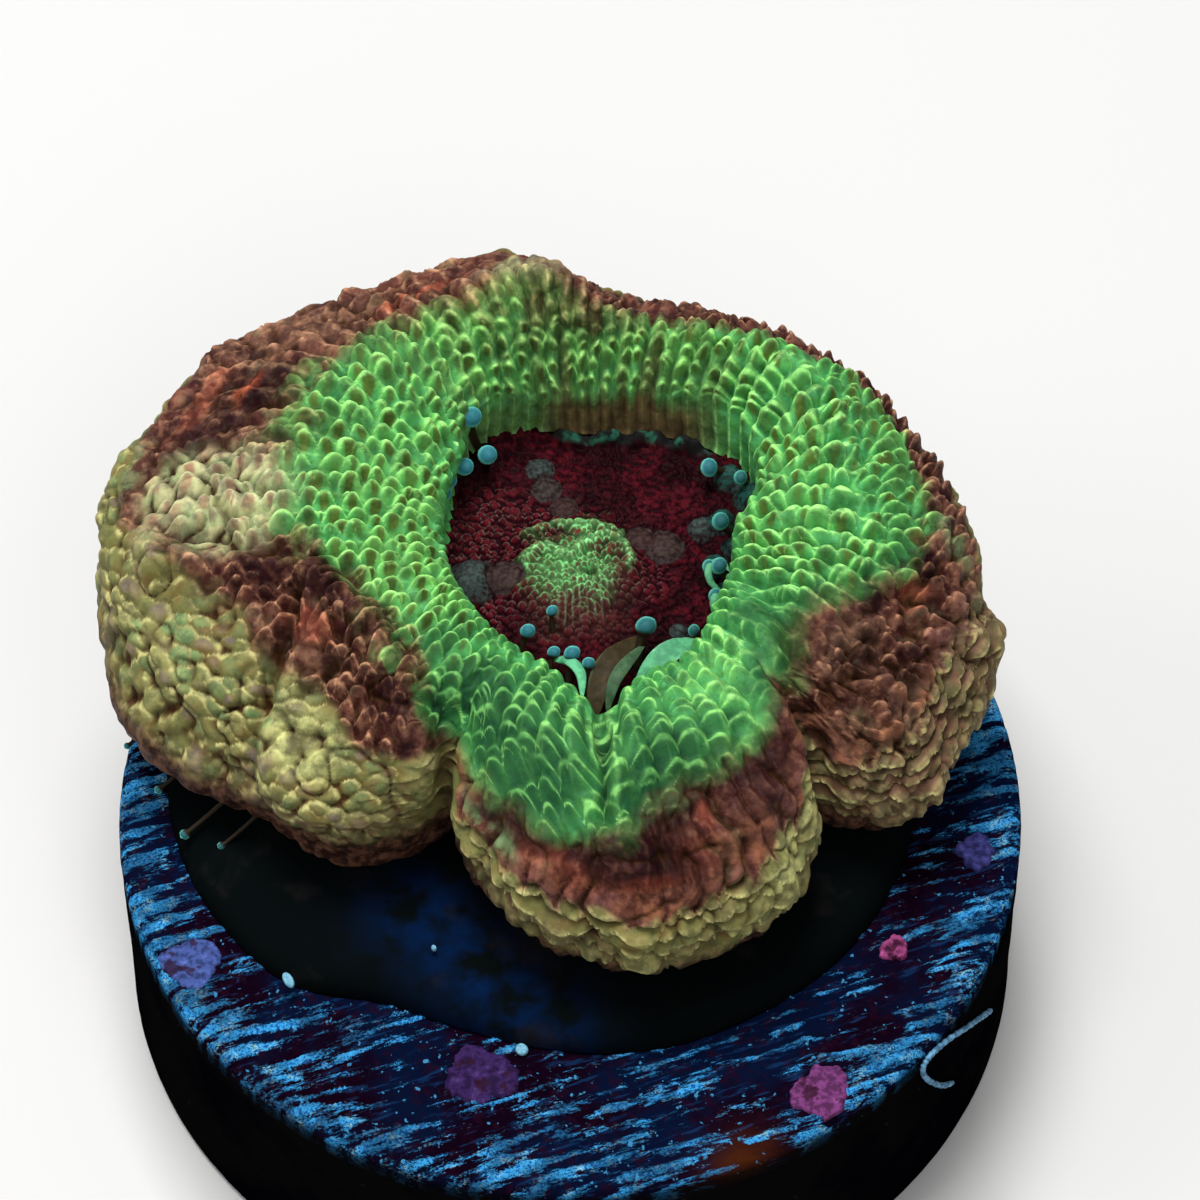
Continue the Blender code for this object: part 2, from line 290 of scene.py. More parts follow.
def fan_faces(ring_start, columns, centre, flip=False):
    """Triangles from a ring to a centre point."""
    column = np.arange(columns)
    faces = np.stack([ring_start + column, ring_start + (column + 1) % columns, np.full(columns, centre)], axis=-1)
    return faces[:, ::-1] if flip else faces


def put_tubes(name, grids, look, marks=None, replaces=()):
    """Puts tubes in as one mesh: each is a grid of rings, with a fan of triangles over each end."""
    count, rings, sides = grids.shape[:3]
    size = rings * sides + 2

    def with_ends(values):
        """The values of each tube's points, then the means of its first and of its last ring."""
        ends = values[:, [0, -1]].mean(axis=2)
        return np.concatenate([values.reshape((count, rings * sides) + values.shape[3:]), ends], axis=1)

    ends = np.concatenate([
        fan_faces(0, sides, size - 2), fan_faces((rings - 1) * sides, sides, size - 1, flip=True),
    ])
    first = np.arange(count)[:, None, None] * size
    faces = [(first + ring_faces(rings, sides)).reshape(-1, 4), (first + ends).reshape(-1, 3)]
    marks = {mark: with_ends(values).reshape(-1) for mark, values in (marks or {}).items()}
    put_mesh(name, with_ends(grids).reshape(-1, 3), faces, look, marks, replaces=replaces)


def grid_normals(points):
    """Normals of a grid of rings: the cross product of the steps down the rows and round the ring."""
    down = np.gradient(points, axis=0)
    onward = np.roll(points, -1, axis=1) - np.roll(points, 1, axis=1)
    return unit(np.cross(down, onward))


# ---------------------------------------------------------------- looks

class Value:
    """A number socket that takes part in Python arithmetic: each operator adds one Math node."""

    def __init__(self, look, socket):
        self.look = look
        self.socket = socket

    def math(self, operation, *others):
        """The Math node of that operation on this value and the others."""
        return self.look.node("Math", {"operation": operation}, self, *others)

    def __add__(self, other):
        return self.math("ADD", other)

    def __mul__(self, other):
        return self.math("MULTIPLY", other)

    def __sub__(self, other):
        return self.math("SUBTRACT", other)

    def __rsub__(self, other):
        return self.look.node("Math", {"operation": "SUBTRACT"}, other, self)

    __radd__ = __add__
    __rmul__ = __mul__

    def step(self, low, high, start=0.0, end=1.0):
        """start under low, end over high, and a smooth step between them."""
        settings = {"interpolation_type": "SMOOTHSTEP"}
        return self.look.node("MapRange", settings, self, low, high, start, end)


class Look:
    """A material on one Principled BSDF, and the nodes that feed it."""

    def __init__(self, name, colour=(0.8, 0.8, 0.8), **constants):
        self.material = bpy.data.materials.new(name)
        self.material.use_nodes = True
        self.tree = self.material.node_tree
        self.shader = self.tree.nodes["Principled BSDF"]
        self.material.diffuse_color = (*colour, 1)
        self.shader.inputs["Base Color"].default_value = (*colour, 1)
        for words, value in constants.items():
            self.fill(self.socket(words), value)

    def socket(self, words):
        """The shader's socket called, say, specular_ior_level."""
        return next(s for s in self.shader.inputs if s.name.lower().replace(" ", "_") == words)

    def node(self, kind, settings, *values, output=0, **named):
        """Adds a node, makes its settings, fills its enabled sockets in order or by name, gives an output."""
        made = self.tree.nodes.new("ShaderNode" + kind)
        for setting, value in settings.items():
            setattr(made, setting, value)
        sockets = [socket for socket in made.inputs if socket.enabled]
        by_name = {socket.name.replace(" ", "_"): socket for socket in sockets}
        for socket, value in [*zip(sockets, values), *((by_name[word], value) for word, value in named.items())]:
            self.fill(socket, value)
        return Value(self, [socket for socket in made.outputs if socket.enabled][output])

    def fill(self, socket, value):
        """Links a value to a socket, or sets the socket to a number, a vector or a colour."""
        if isinstance(value, Value):
            self.tree.links.new(value.socket, socket)
        elif isinstance(value, (int, float)) or len(value) == len(socket.default_value):
            socket.default_value = value
        else:
            socket.default_value = (*value, 1.0)

    def feed(self, **sockets):
        """Links values into the shader, by the shader's socket names."""
        for words, value in sockets.items():
            self.fill(self.socket(words), value)
        return self.material

    def marks(self, *names):
        """Numbers that the mesh carries at each point."""
        return [self.node("Attribute", {"attribute_name": name}, output=2) for name in names]

    def place(self):
        """Object coordinates, in metres."""
        return self.node("TexCoord", {}, output=3)

    def noise(self, per_mm, detail=4.0, roughness=0.55, at=None):
        """Noise from 0 to 1, with that many cells to the millimetre."""
        return self.node(
            "TexNoise", {}, Vector=at or self.place(), Scale=per_mm / MM, Detail=detail, Roughness=roughness,
        )

    def mix(self, a, b, factor, blend_type="MIX"):
        """Colour a, turning to b as the factor goes from 0 to 1."""
        return self.node("Mix", {"data_type": "RGBA", "blend_type": blend_type}, Factor=factor, A=a, B=b)

    def coats(self, skin, *coats):
        """Lays coats of (colour, how much of it) on a skin, one over the other."""
        for rgb, share in coats:
            skin = self.mix(skin, rgb, share)
        return skin

    def bump(self, height, strength, distance_mm):
        """The normal, turned by a small relief."""
        return self.node("Bump", {}, Height=height, Strength=strength, Distance=distance_mm * MM)


# ---------------------------------------------------------------- sizes and colours

def length(name, description, mm):
    """A length that a user can change, given in mm."""
    return FloatProperty(name=name, description=description, default=mm * MM, unit="LENGTH", precision=6)


def count(name, description, number):
    """A number of things that a user can change."""
    return IntProperty(name=name, description=description, default=number)


def colour(name, description, *rgb):
    """A colour that a user can change, as scene-linear red, green and blue."""
    return FloatVectorProperty(
        name=name, description=description, default=rgb, size=3, subtype="COLOR", min=0, max=1,
    )


class CoralSizes(bpy.types.PropertyGroup):
    """How many teeth, cobbles and ledges there are, and how large"""

    ring_points: count("Ring points", "Points round each ring of tissue", 1080)
    tissue_rows: count("Tissue rows", "Rows of points from the foot to the widest line", 216)
    inner_rows: count("Inner rows", "Rows of teeth round the hollow", 76)
    outer_rows: count("Outer rows", "Rows of teeth round the outside", 112)
    cobble_rows: count("Cobble rows", "Rows of flat cobbles round the skirt", 144)
    tooth_pitch: length("Tooth pitch", "From one tooth to the next down an inner row", 0.62)
    outer_pitch: length("Outer pitch", "From one tooth to the next down an outer row", 0.72)
    outer_height: length("Outer height", "How far a tooth of the brown band stands up", 0.42)
    cobble_pitch: length("Cobble pitch", "From one cobble to the next down a row", 0.62)
    cobble_height: length("Cobble height", "How far a cobble stands up", 0.30)
    ledge_rows: count("Ledge rows", "Columns of ledges round the skirt", 104)
    ledge_pitch: length("Ledge pitch", "From one ledge to the next down a column", 0.6)
    ledge_height: length("Ledge height", "How far a ledge stands out", 0.46)
    tentacle_radius: length("Tentacle radius", "Radius of the ball on a tentacle", 0.38)
    streak_pitch: length("Streak pitch", "From one saw streak to the next on the disc", 0.62)
    streak_height: length("Streak height", "How far a saw streak stands up", 0.1)


class CoralColours(bpy.types.PropertyGroup):
    """The colours of the tissue, the oral disc and the disc"""

    # Painted highlight: the bright colour laid on the rims and crests of green teeth.
    highlight_green: colour("Net green", "The bright edges of green teeth", 0.31, 0.68, 0.20)
    body_green: colour("Body green", "The green tissue", 0.085, 0.36, 0.085)
    shade_green: colour("Shade green", "The valleys of the green tissue", 0.02, 0.15, 0.04)
    olive: colour("Olive", "The spots on green teeth", 0.07, 0.12, 0.022)
    brown: colour("Brown", "The reddish brown band", 0.135, 0.043, 0.030)
    # Painted highlight: the pale colour laid on the rims of brown teeth.
    brown_highlight: colour("Brown edge", "The pale edges of brown teeth", 0.42, 0.22, 0.13)
    # Deep brown also fills the low parts of the brown band, as painted shade.
    deep_brown: colour("Deep brown", "The dark patches of the brown band", 0.035, 0.006, 0.008)
    orange: colour("Orange", "The orange crests", 0.55, 0.12, 0.06)
    yellow: colour("Yellow", "The yellow skirt", 0.170, 0.173, 0.054)
    # Painted highlight: the pale colour laid on the rims of the skirt's cobbles and ledges.
    yellow_edge: colour("Yellow edge", "The pale edges of the skirt's cobbles", 0.58, 0.56, 0.24)
    # Painted shade: the dark colour in the low parts between cobbles and ledges.
    crevice_shade: colour("Crevice", "The valleys of the skirt", 0.045, 0.017, 0.004)
    mint: colour("Mint", "The pale green cobbles", 0.22, 0.42, 0.17)
    # Cream is laid only on the rims in the pale patch, as a painted highlight.
    cream: colour("Cream", "The pale patch on the left", 0.50, 0.50, 0.29)
    rose: colour("Rose", "The spots of the pale patch", 0.30, 0.11, 0.09)
    maroon: colour("Maroon", "The oral disc", 0.015, 0.001, 0.003)
    maroon_bead: colour("Maroon bead", "The beads of the oral disc", 0.112, 0.005, 0.011)
    teal: colour("Teal", "The tentacle tips", 0.08, 0.34, 0.44)
    slate: colour("Slate", "The dull blisters on the oral disc", 0.045, 0.065, 0.06)
    streak: colour("Streak", "The worn streaks on the disc", 0.05, 0.38, 0.76)
    groove: colour("Groove", "The stained grooves of the disc", 0.004, 0.0008, 0.0045)
    navy: colour("Navy", "The blue stain on the disc", 0.0015, 0.004, 0.018)
    # Painted shade: the side of the same ceramic, coloured near black as if in shade.
    side: colour("Side", "The disc's dark side", 0.0028, 0.0026, 0.0026)
    glue: colour("Glue", "The pad of glue", 0.0020, 0.0032, 0.0035)
    floor: colour("Floor", "The plain floor", 0.60, 0.595, 0.585)


# ---------------------------------------------------------------- the coral's tissue

def coral_surface(stations, degrees):
    """The coral's smooth skin, in mm: at each angle a Catmull-Rom curve through fifteen stations from the mouth to
    the cut, whose radius and height come from the outlines."""
    reach, reach_height = round_curve(REACH, degrees), round_curve(REACH_HEIGHT, degrees)
    lip, lip_height = round_curve(LIP, degrees), round_curve(LIP_HEIGHT, degrees)
    crest_height, foot = round_curve(CREST_HEIGHT, degrees), round_curve(FOOT, degrees)
    level = np.ones_like(degrees)
    out, up = reach - lip, crest_height - reach_height
    knots = [(MOUTH_RADIUS * level, (ORAL_HEIGHT + MOUTH_RISE) * level)]
    knots += [(share * foot, (ORAL_HEIGHT + rise) * level) for share, rise in MOUTH_CONE]
    knots += [
        (foot, (ORAL_HEIGHT + FOOT_RISE) * level),
        (foot + WALL_SHARE * (lip - foot), 0.5 * (ORAL_HEIGHT + lip_height)),
        (lip, lip_height),
        (lip + CREST_OUT * out, crest_height),
        (lip + SHOULDER_OUT * out, reach_height + SHOULDER_UP * up),
        (lip + SKIRT_OUT * out, reach_height + SKIRT_UP * up),
        (reach, reach_height),
        (reach - round_curve(UNDER_INSET, degrees), CORAL_CUT + UNDER_UP * (reach_height - CORAL_CUT)),
        (reach - round_curve(HEM_INSET, degrees), (CORAL_CUT + HEM_RISE) * level),
        (reach - CUT_INSET, CORAL_CUT * level),
    ]
    curves = through(np.array(knots), stations)
    radius, height = curves[:, 0], curves[:, 1]
    return at_height(MOUTH + radius[..., None] * compass(np.radians(degrees)), DISC_TOP + height)


def even_stations(first, last, rows):
    """Stations whose rings lie, on average round the coral, an equal distance apart."""
    fine = np.linspace(first, last, 20 * rows)
    rings = coral_surface(fine, np.arange(0, 360, 3.0))
    run = np.linalg.norm(np.diff(rings, axis=0), axis=-1).mean(axis=1)
    run = np.concatenate([[0], np.cumsum(run)])
    return np.interp(np.linspace(0, run[-1], rows), run, fine)


class Lattice:
    """Teeth on a jittered lattice: each cell of (across, along) holds one, and a point goes to the tooth that
    stands highest there.

    A hooded tooth has a rim, the arch v = 1.15 |u|^2.3 - 0.35 in the tooth's own radii, with v to the front and u
    across. Its height is (1 - u^2) times a bell of the distance from the rim, narrow behind and wide in front,
    the slope. A round one, for which a power is given, is (1 - d^2)^power, where d is the distance from its
    middle. lean is the way to the front at each point, and net keeps the rims that a higher tooth would hide.

    It gives at each point the dome, its height from 0 to 1, and the tooth's spot, edge and cup, each from 0 to 1,
    for the look to colour, with a tone that is one random number for the tooth. The edge runs along a hooded
    tooth's rim and round the back half of a round one, and the looks paint a highlight there; the cup is the front
    slope inside a hooded tooth's arch, which the tissue's look darkens as painted shade.
    """

    PARTS = ("dome", "spot", "edge", "cup", "tone")
    LONG = 64  # teeth down a row before its random numbers repeat

    def __init__(
        self, across, along, rows, seed, radii, lean, jitter, power=None, slope=0.85, net=False, rim=0.12,
    ):
        random = np.random.default_rng(seed)
        shift_across, shift_along, stagger = random.uniform(-1, 1, (3, rows, self.LONG))
        tall, tone = random.uniform(0, 1, (2, rows, self.LONG))
        row, tooth = np.floor(across).astype(int), np.floor(along).astype(int)
        steep = np.maximum(np.hypot(*lean), 0.2)
        kept = {name: np.zeros(across.shape) for name in self.PARTS}
        for row_step, tooth_step in itertools.product((-1, 0, 1), repeat=2):
            i, j = row + row_step, tooth + tooth_step
            key = (i % rows, j % self.LONG)
            size = 0.72 + 0.5 * tall[key]
            gap_across = (across - i - 0.5 - jitter[0] * shift_across[key]) / (radii[0] * size)
            shifted = shift_along[key] + stagger[i % rows, 0]
            gap_along = (along - j - 0.5 - jitter[1] * shifted) / (radii[1] * size)
            v = (gap_across * lean[0] + gap_along * lean[1]) / steep
            u = (gap_across * lean[1] - gap_along * lean[0]) / steep
            if power:
                apart = u**2 + v**2
                height = np.clip(1 - apart, 0, 1) ** power * (0.75 + 0.35 * tall[key])
                edge = (1 - step(-0.3, 0.5, v)) * bell(apart - 0.5, 0.3)
                spot = np.clip(1 - 2.2 * apart, 0, 1)
                cup = spot
            else:
                front = v + 0.35 - 1.15 * np.abs(u) ** 2.3
                leg = np.clip(1 - u**2, 0, 1)
                height = leg * np.where(front < 0, bell(front, 0.3), bell(front, slope)) * (0.6 + 0.5 * tall[key])
                edge = bell(front, rim) * leg**0.3
                spot = step(0.04, 0.24, front) * (1 - step(0.5, 1.7, front)) * np.clip(1 - (u / 0.4) ** 2, 0, 1)
                cup = step(0.1, 0.4, front) * (1 - step(1.2, 2.6, front)) * np.clip(1 - (u / 0.8) ** 2, 0, 1)
            higher = height > kept["dome"]
            if net:
                edge = kept["edge"] = np.maximum(edge, kept["edge"])
            for name, value in zip(self.PARTS, (height, spot, edge, cup, tone[key])):
                kept[name] = np.where(higher, value, kept[name])
        vars(self).update(kept)


def hollowness(points, normals, reach):
    """How far, in mm, each point lies below the mean of its four neighbours that many steps away."""
    last = len(points) - 1
    rows = np.arange(last + 1)
    around = np.roll(points, reach, axis=1) + np.roll(points, -reach, axis=1)
    around += points[np.clip(rows - reach, 0, last)] + points[np.clip(rows + reach, 0, last)]
    return np.sum((around / 4 - points) * normals, axis=-1)


# Folds of the tissue: the route on the plan in mm, the depth and width of its groove, then the height of the
# swelling beside it, where that stands (less than 0 on the route's right) and its width.
FOLDS = (
    # the left lobe's crest, which rises behind the green tissue
    (((-13.5, 5.6), (-11.1, 4.8), (-8.3, 3.8), (-7.0, 2.4), (-5.9, 1.3), (-5.1, -0.3), (-4.5, -2.0), (-4.3, -3.6)),
     0.55, 0.5, 0.75, -0.75, 0.8),
    # the groove between the middle and the right lobe
    (((8.9, -3.3), (8.3, -2.1), (7.6, -1.0), (7.7, 0.6), (7.4, 1.8), (6.6, 3.0), (5.9, 4.0)),
     0.75, 0.5, 0.45, 0.8, 0.8),
    # the cleft between the two halves of the left lobe's skirt
    (((-9.4, 2.9), (-9.64, 2.23), (-10.03, 0.7), (-10.49, -0.6), (-10.95, -1.4), (-11.1, -2.4)),
     0.7, 0.36, 0.45, 0.9, 0.8),
    # the bright crease that runs down from the point of the hollow
    (((1.2, -1.2), (1.15, -3.0), (1.0, -4.6), (0.95, -6.0)), 0.55, 0.42, 0.18, 0.8, 0.6),
)


def fold_lift(plan):
    """How far the folds lift the tissue, in mm: a groove along each route and a swelling beside it, both bells."""
    lift = np.zeros(plan.shape[:-1])
    for route, depth, width, rise, rise_at, rise_width in FOLDS:
        gap = route_gap(plan, route)
        lift += rise * bell(gap - rise_at, rise_width) - depth * bell(gap, width)
    return lift


# How far the teeth and the ridges under them stand up, as (degrees, mm).
TOOTH_HEIGHT = (
    (0, 0.30), (30, 0.29), (60, 0.27), (85, 0.27), (110, 0.30), (150, 0.34), (190, 0.34), (225, 0.24), (245, 0.14),
    (290, 0.12), (315, 0.15), (340, 0.26),
)
RIDGE_HEIGHT = (
    (0, 0.40), (30, 0.34), (60, 0.28), (90, 0.28), (120, 0.24), (180, 0.16), (215, 0.14), (250, 0.12), (275, 0.2),
    (300, 0.2), (335, 0.38),
)
# How closely the rows of inner teeth stand round the mouth, against one another.
ROW_DENSITY = (
    (0, 0.72), (45, 0.85), (90, 1.1), (135, 0.95), (180, 0.9), (225, 0.95), (250, 0.85), (290, 0.8), (325, 0.85),
)
# How dark the spots under the tips are.
SPOTTED = (
    (0, 0.7), (60, 0.8), (120, 0.9), (180, 1), (215, 0.8), (240, 0.3), (275, 0.15), (310, 0.2), (340, 0.5),
)
# Where the brown band's lumps are pointed teeth (1) and where they are knobs (0).
SPINES = (
    (0, 1), (40, 1), (75, 0.6), (110, 0.3), (150, 0.4), (185, 0.5), (205, 0.9), (232, 0.8), (246, 0), (300, 0),
    (318, 0.9),
)
# Where the skirt is a stack of ledges (1) and where it is cobbled (0).
LEDGES = (
    (0, 0.2), (30, 0), (90, 0), (150, 0), (205, 0), (232, 0.1), (246, 0.9), (300, 1), (313, 0.7), (325, 0.4),
    (345, 0.4),
)

# Patches of colour: (degrees, station, half width in degrees, half height in stations, strength).
DEEP_PATCHES = (
    (158, 9.15, 9, 0.42, 1.0), (154, 8.9, 6, 0.3, 0.9), (164, 8.35, 5, 0.22, 0.8), (197, 8.05, 5, 0.2, 1.0),
    (191, 8.55, 6, 0.3, 0.9), (203, 8.2, 6, 0.25, 1.0), (242, 9.4, 3, 0.7, 0.9), (231, 8.6, 7, 0.3, 0.8),
    (214, 8.35, 4, 0.2, 0.7), (237, 9.1, 4, 0.35, 0.8), (222, 9.2, 5, 0.2, 0.5), (270, 9.3, 18, 0.35, 1.0),
    (277, 9.5, 9, 0.4, 1.0), (296, 9.2, 7, 0.3, 0.8), (301, 8.95, 6, 0.3, 0.9), (295, 8.8, 5, 0.2, 0.7),
    (338, 8.55, 4, 0.2, 1.0), (326, 8.75, 6, 0.25, 0.7), (332, 9.4, 6, 0.4, 0.6), (322, 9.0, 5, 0.3, 0.6),
    (67, 8.75, 7, 0.25, 0.6), (120, 8.75, 5, 0.2, 0.7), (99, 9.0, 4, 0.2, 0.5), (14, 10.5, 12, 0.5, 0.5),
    (349, 9.05, 4, 0.3, 1.0), (160, 9.35, 10, 0.45, 1.0), (36, 10.2, 10, 0.4, 0.4),
)
ORANGE_PATCHES = (
    (155, 9.2, 3.5, 0.12, 0.6), (157, 9.75, 6, 0.2, 0.35), (121, 9.0, 9, 0.14, 0.8), (90, 8.8, 5, 0.3, 0.6),
    (287, 9.05, 1.6, 0.2, 0.5), (276, 9.7, 6, 0.12, 0.3), (265, 9.75, 6, 0.3, 0.28), (285, 9.5, 5, 0.3, 0.2),
    (343, 9.0, 3, 0.2, 0.7), (208, 8.6, 5, 0.2, 0.5), (248, 9.5, 4, 0.4, 0.4),
)
CREAM_PATCHES = (
    (176, 8.9, 9, 0.75, 1.0), (174, 9.4, 7, 0.5, 0.9), (183, 8.9, 6, 0.5, 0.9), (180, 9.6, 6, 0.35, 0.4),
    (104, 8.6, 7, 0.4, 0.5),
)
MINT_PATCHES = (
    (196, 10.0, 10, 0.6, 0.6), (213, 10.2, 5, 0.5, 0.7), (254, 9.9, 5.5, 0.35, 1.0), (309, 11.0, 5, 0.6, 0.8),
    (170, 10.4, 6, 0.4, 0.6), (348, 10.1, 5, 0.4, 0.5), (358, 9.8, 5, 0.3, 0.9), (250, 9.7, 4, 0.4, 1.0),
)
TAN_PATCHES = (
    (322, 10.7, 16, 1.4, 1.0), (342, 11.0, 14, 0.9, 0.9), (103, 8.7, 9, 0.6, 1.0), (140, 9.6, 14, 0.9, 0.5),
    (262, 11.2, 18, 0.35, 0.5), (225, 11.2, 14, 0.4, 0.6), (357, 9.7, 5, 0.4, 0.6), (345, 10.1, 14, 0.6, 1.0),
    (328, 8.6, 9, 0.4, 0.8), (114, 8.7, 10, 0.3, 0.6), (2, 10.2, 8, 0.4, 0.5), (212, 8.9, 8, 0.35, 0.5),
)
SHADE_PATCHES = (
    (255, 8.7, 15, 0.8, 1.0), (241, 8.4, 9, 0.8, 1.0), (249, 8.2, 6, 0.5, 1.0), (272.5, 7.05, 2.5, 0.25, 0.8),
    (282, 8.5, 12, 0.6, 1.0), (291, 8.35, 8, 0.4, 0.7), (228, 7.7, 6, 0.5, 0.6), (133, 8.5, 8, 0.3, 0.4),
    (265, 8.1, 24, 0.8, 0.7), (320, 7.9, 10, 0.6, 0.5),
)
OLIVE_PATCHES = (
    (66, 7.6, 16, 0.5, 0.5), (162, 8.2, 8, 0.4, 0.5), (140, 8.2, 7, 0.4, 0.4), (323, 8.1, 7, 0.4, 0.9),
    (174, 7.8, 6, 0.3, 0.3), (20, 9.3, 16, 0.4, 0.5), (100, 8.4, 8, 0.4, 0.4),
)
SUNNY_PATCHES = (
    (200, 7.4, 20, 0.7, 1.0), (170, 7.4, 14, 0.6, 0.8), (150, 7.6, 12, 0.5, 0.5), (215, 7.3, 12, 0.5, 0.8),
    (90, 7.9, 50, 1.1, 1.0), (272, 7.6, 5, 0.5, 0.25), (300, 7.6, 12, 0.5, 0.6), (350, 7.6, 16, 0.6, 0.45),
    (20, 7.6, 14, 0.5, 0.45), (221, 9.7, 7, 0.5, 1.0), (196, 10.2, 8, 0.4, 0.4), (302, 10.15, 6, 0.4, 0.8),
    (296, 10.6, 6, 0.4, 0.6),
)
SMOOTH_PATCHES = ((322, 7.75, 8, 0.6, 1.0), (310, 8.3, 8, 0.4, 0.8), (330, 7.4, 4, 0.5, 0.7))

PATCHES = {
    "deep": DEEP_PATCHES, "orange": ORANGE_PATCHES, "mint": MINT_PATCHES, "shade": SHADE_PATCHES,
    "olive": OLIVE_PATCHES, "sunny": SUNNY_PATCHES,
}

FRONT = np.array((0.0, -0.825, -0.565))  # down and to the front, where spots and shaded sides face
PLEATS, THREADS, DRIPS, WRINKLES, LONG_RIDGES, STREAKS = 92, 260, 62, 45, 34, 130  # how many stand round the coral
INNER_ENDS = (8.35, 8.75)  # stations over which the inner rows of teeth give way to the outer rows
POINT, SEAM = 272.5, 271.6  # angles of the point of the hollow and of the crease that runs out from it


def patches(table, degrees, stations, wander):
    """The strongest of the patches at each point: a bell across the angle times a bell across the stations."""
    best = np.zeros(wander.shape)
    for at, station, half_angle, half_station, strength in table:
        turn = (degrees - at + 180) % 360 - 180
        here = bell(turn[None, :] / half_angle + wander, 1.0)
        here = here * bell((stations[:, None] - station) / half_station - wander, 1.0)
        best = np.maximum(best, strength * step(0.15, 0.75, here))
    return best


def in_mm(sizes, *names):
    """The user's lengths of those names, in mm."""
    return [getattr(sizes, name) / MM for name in names]


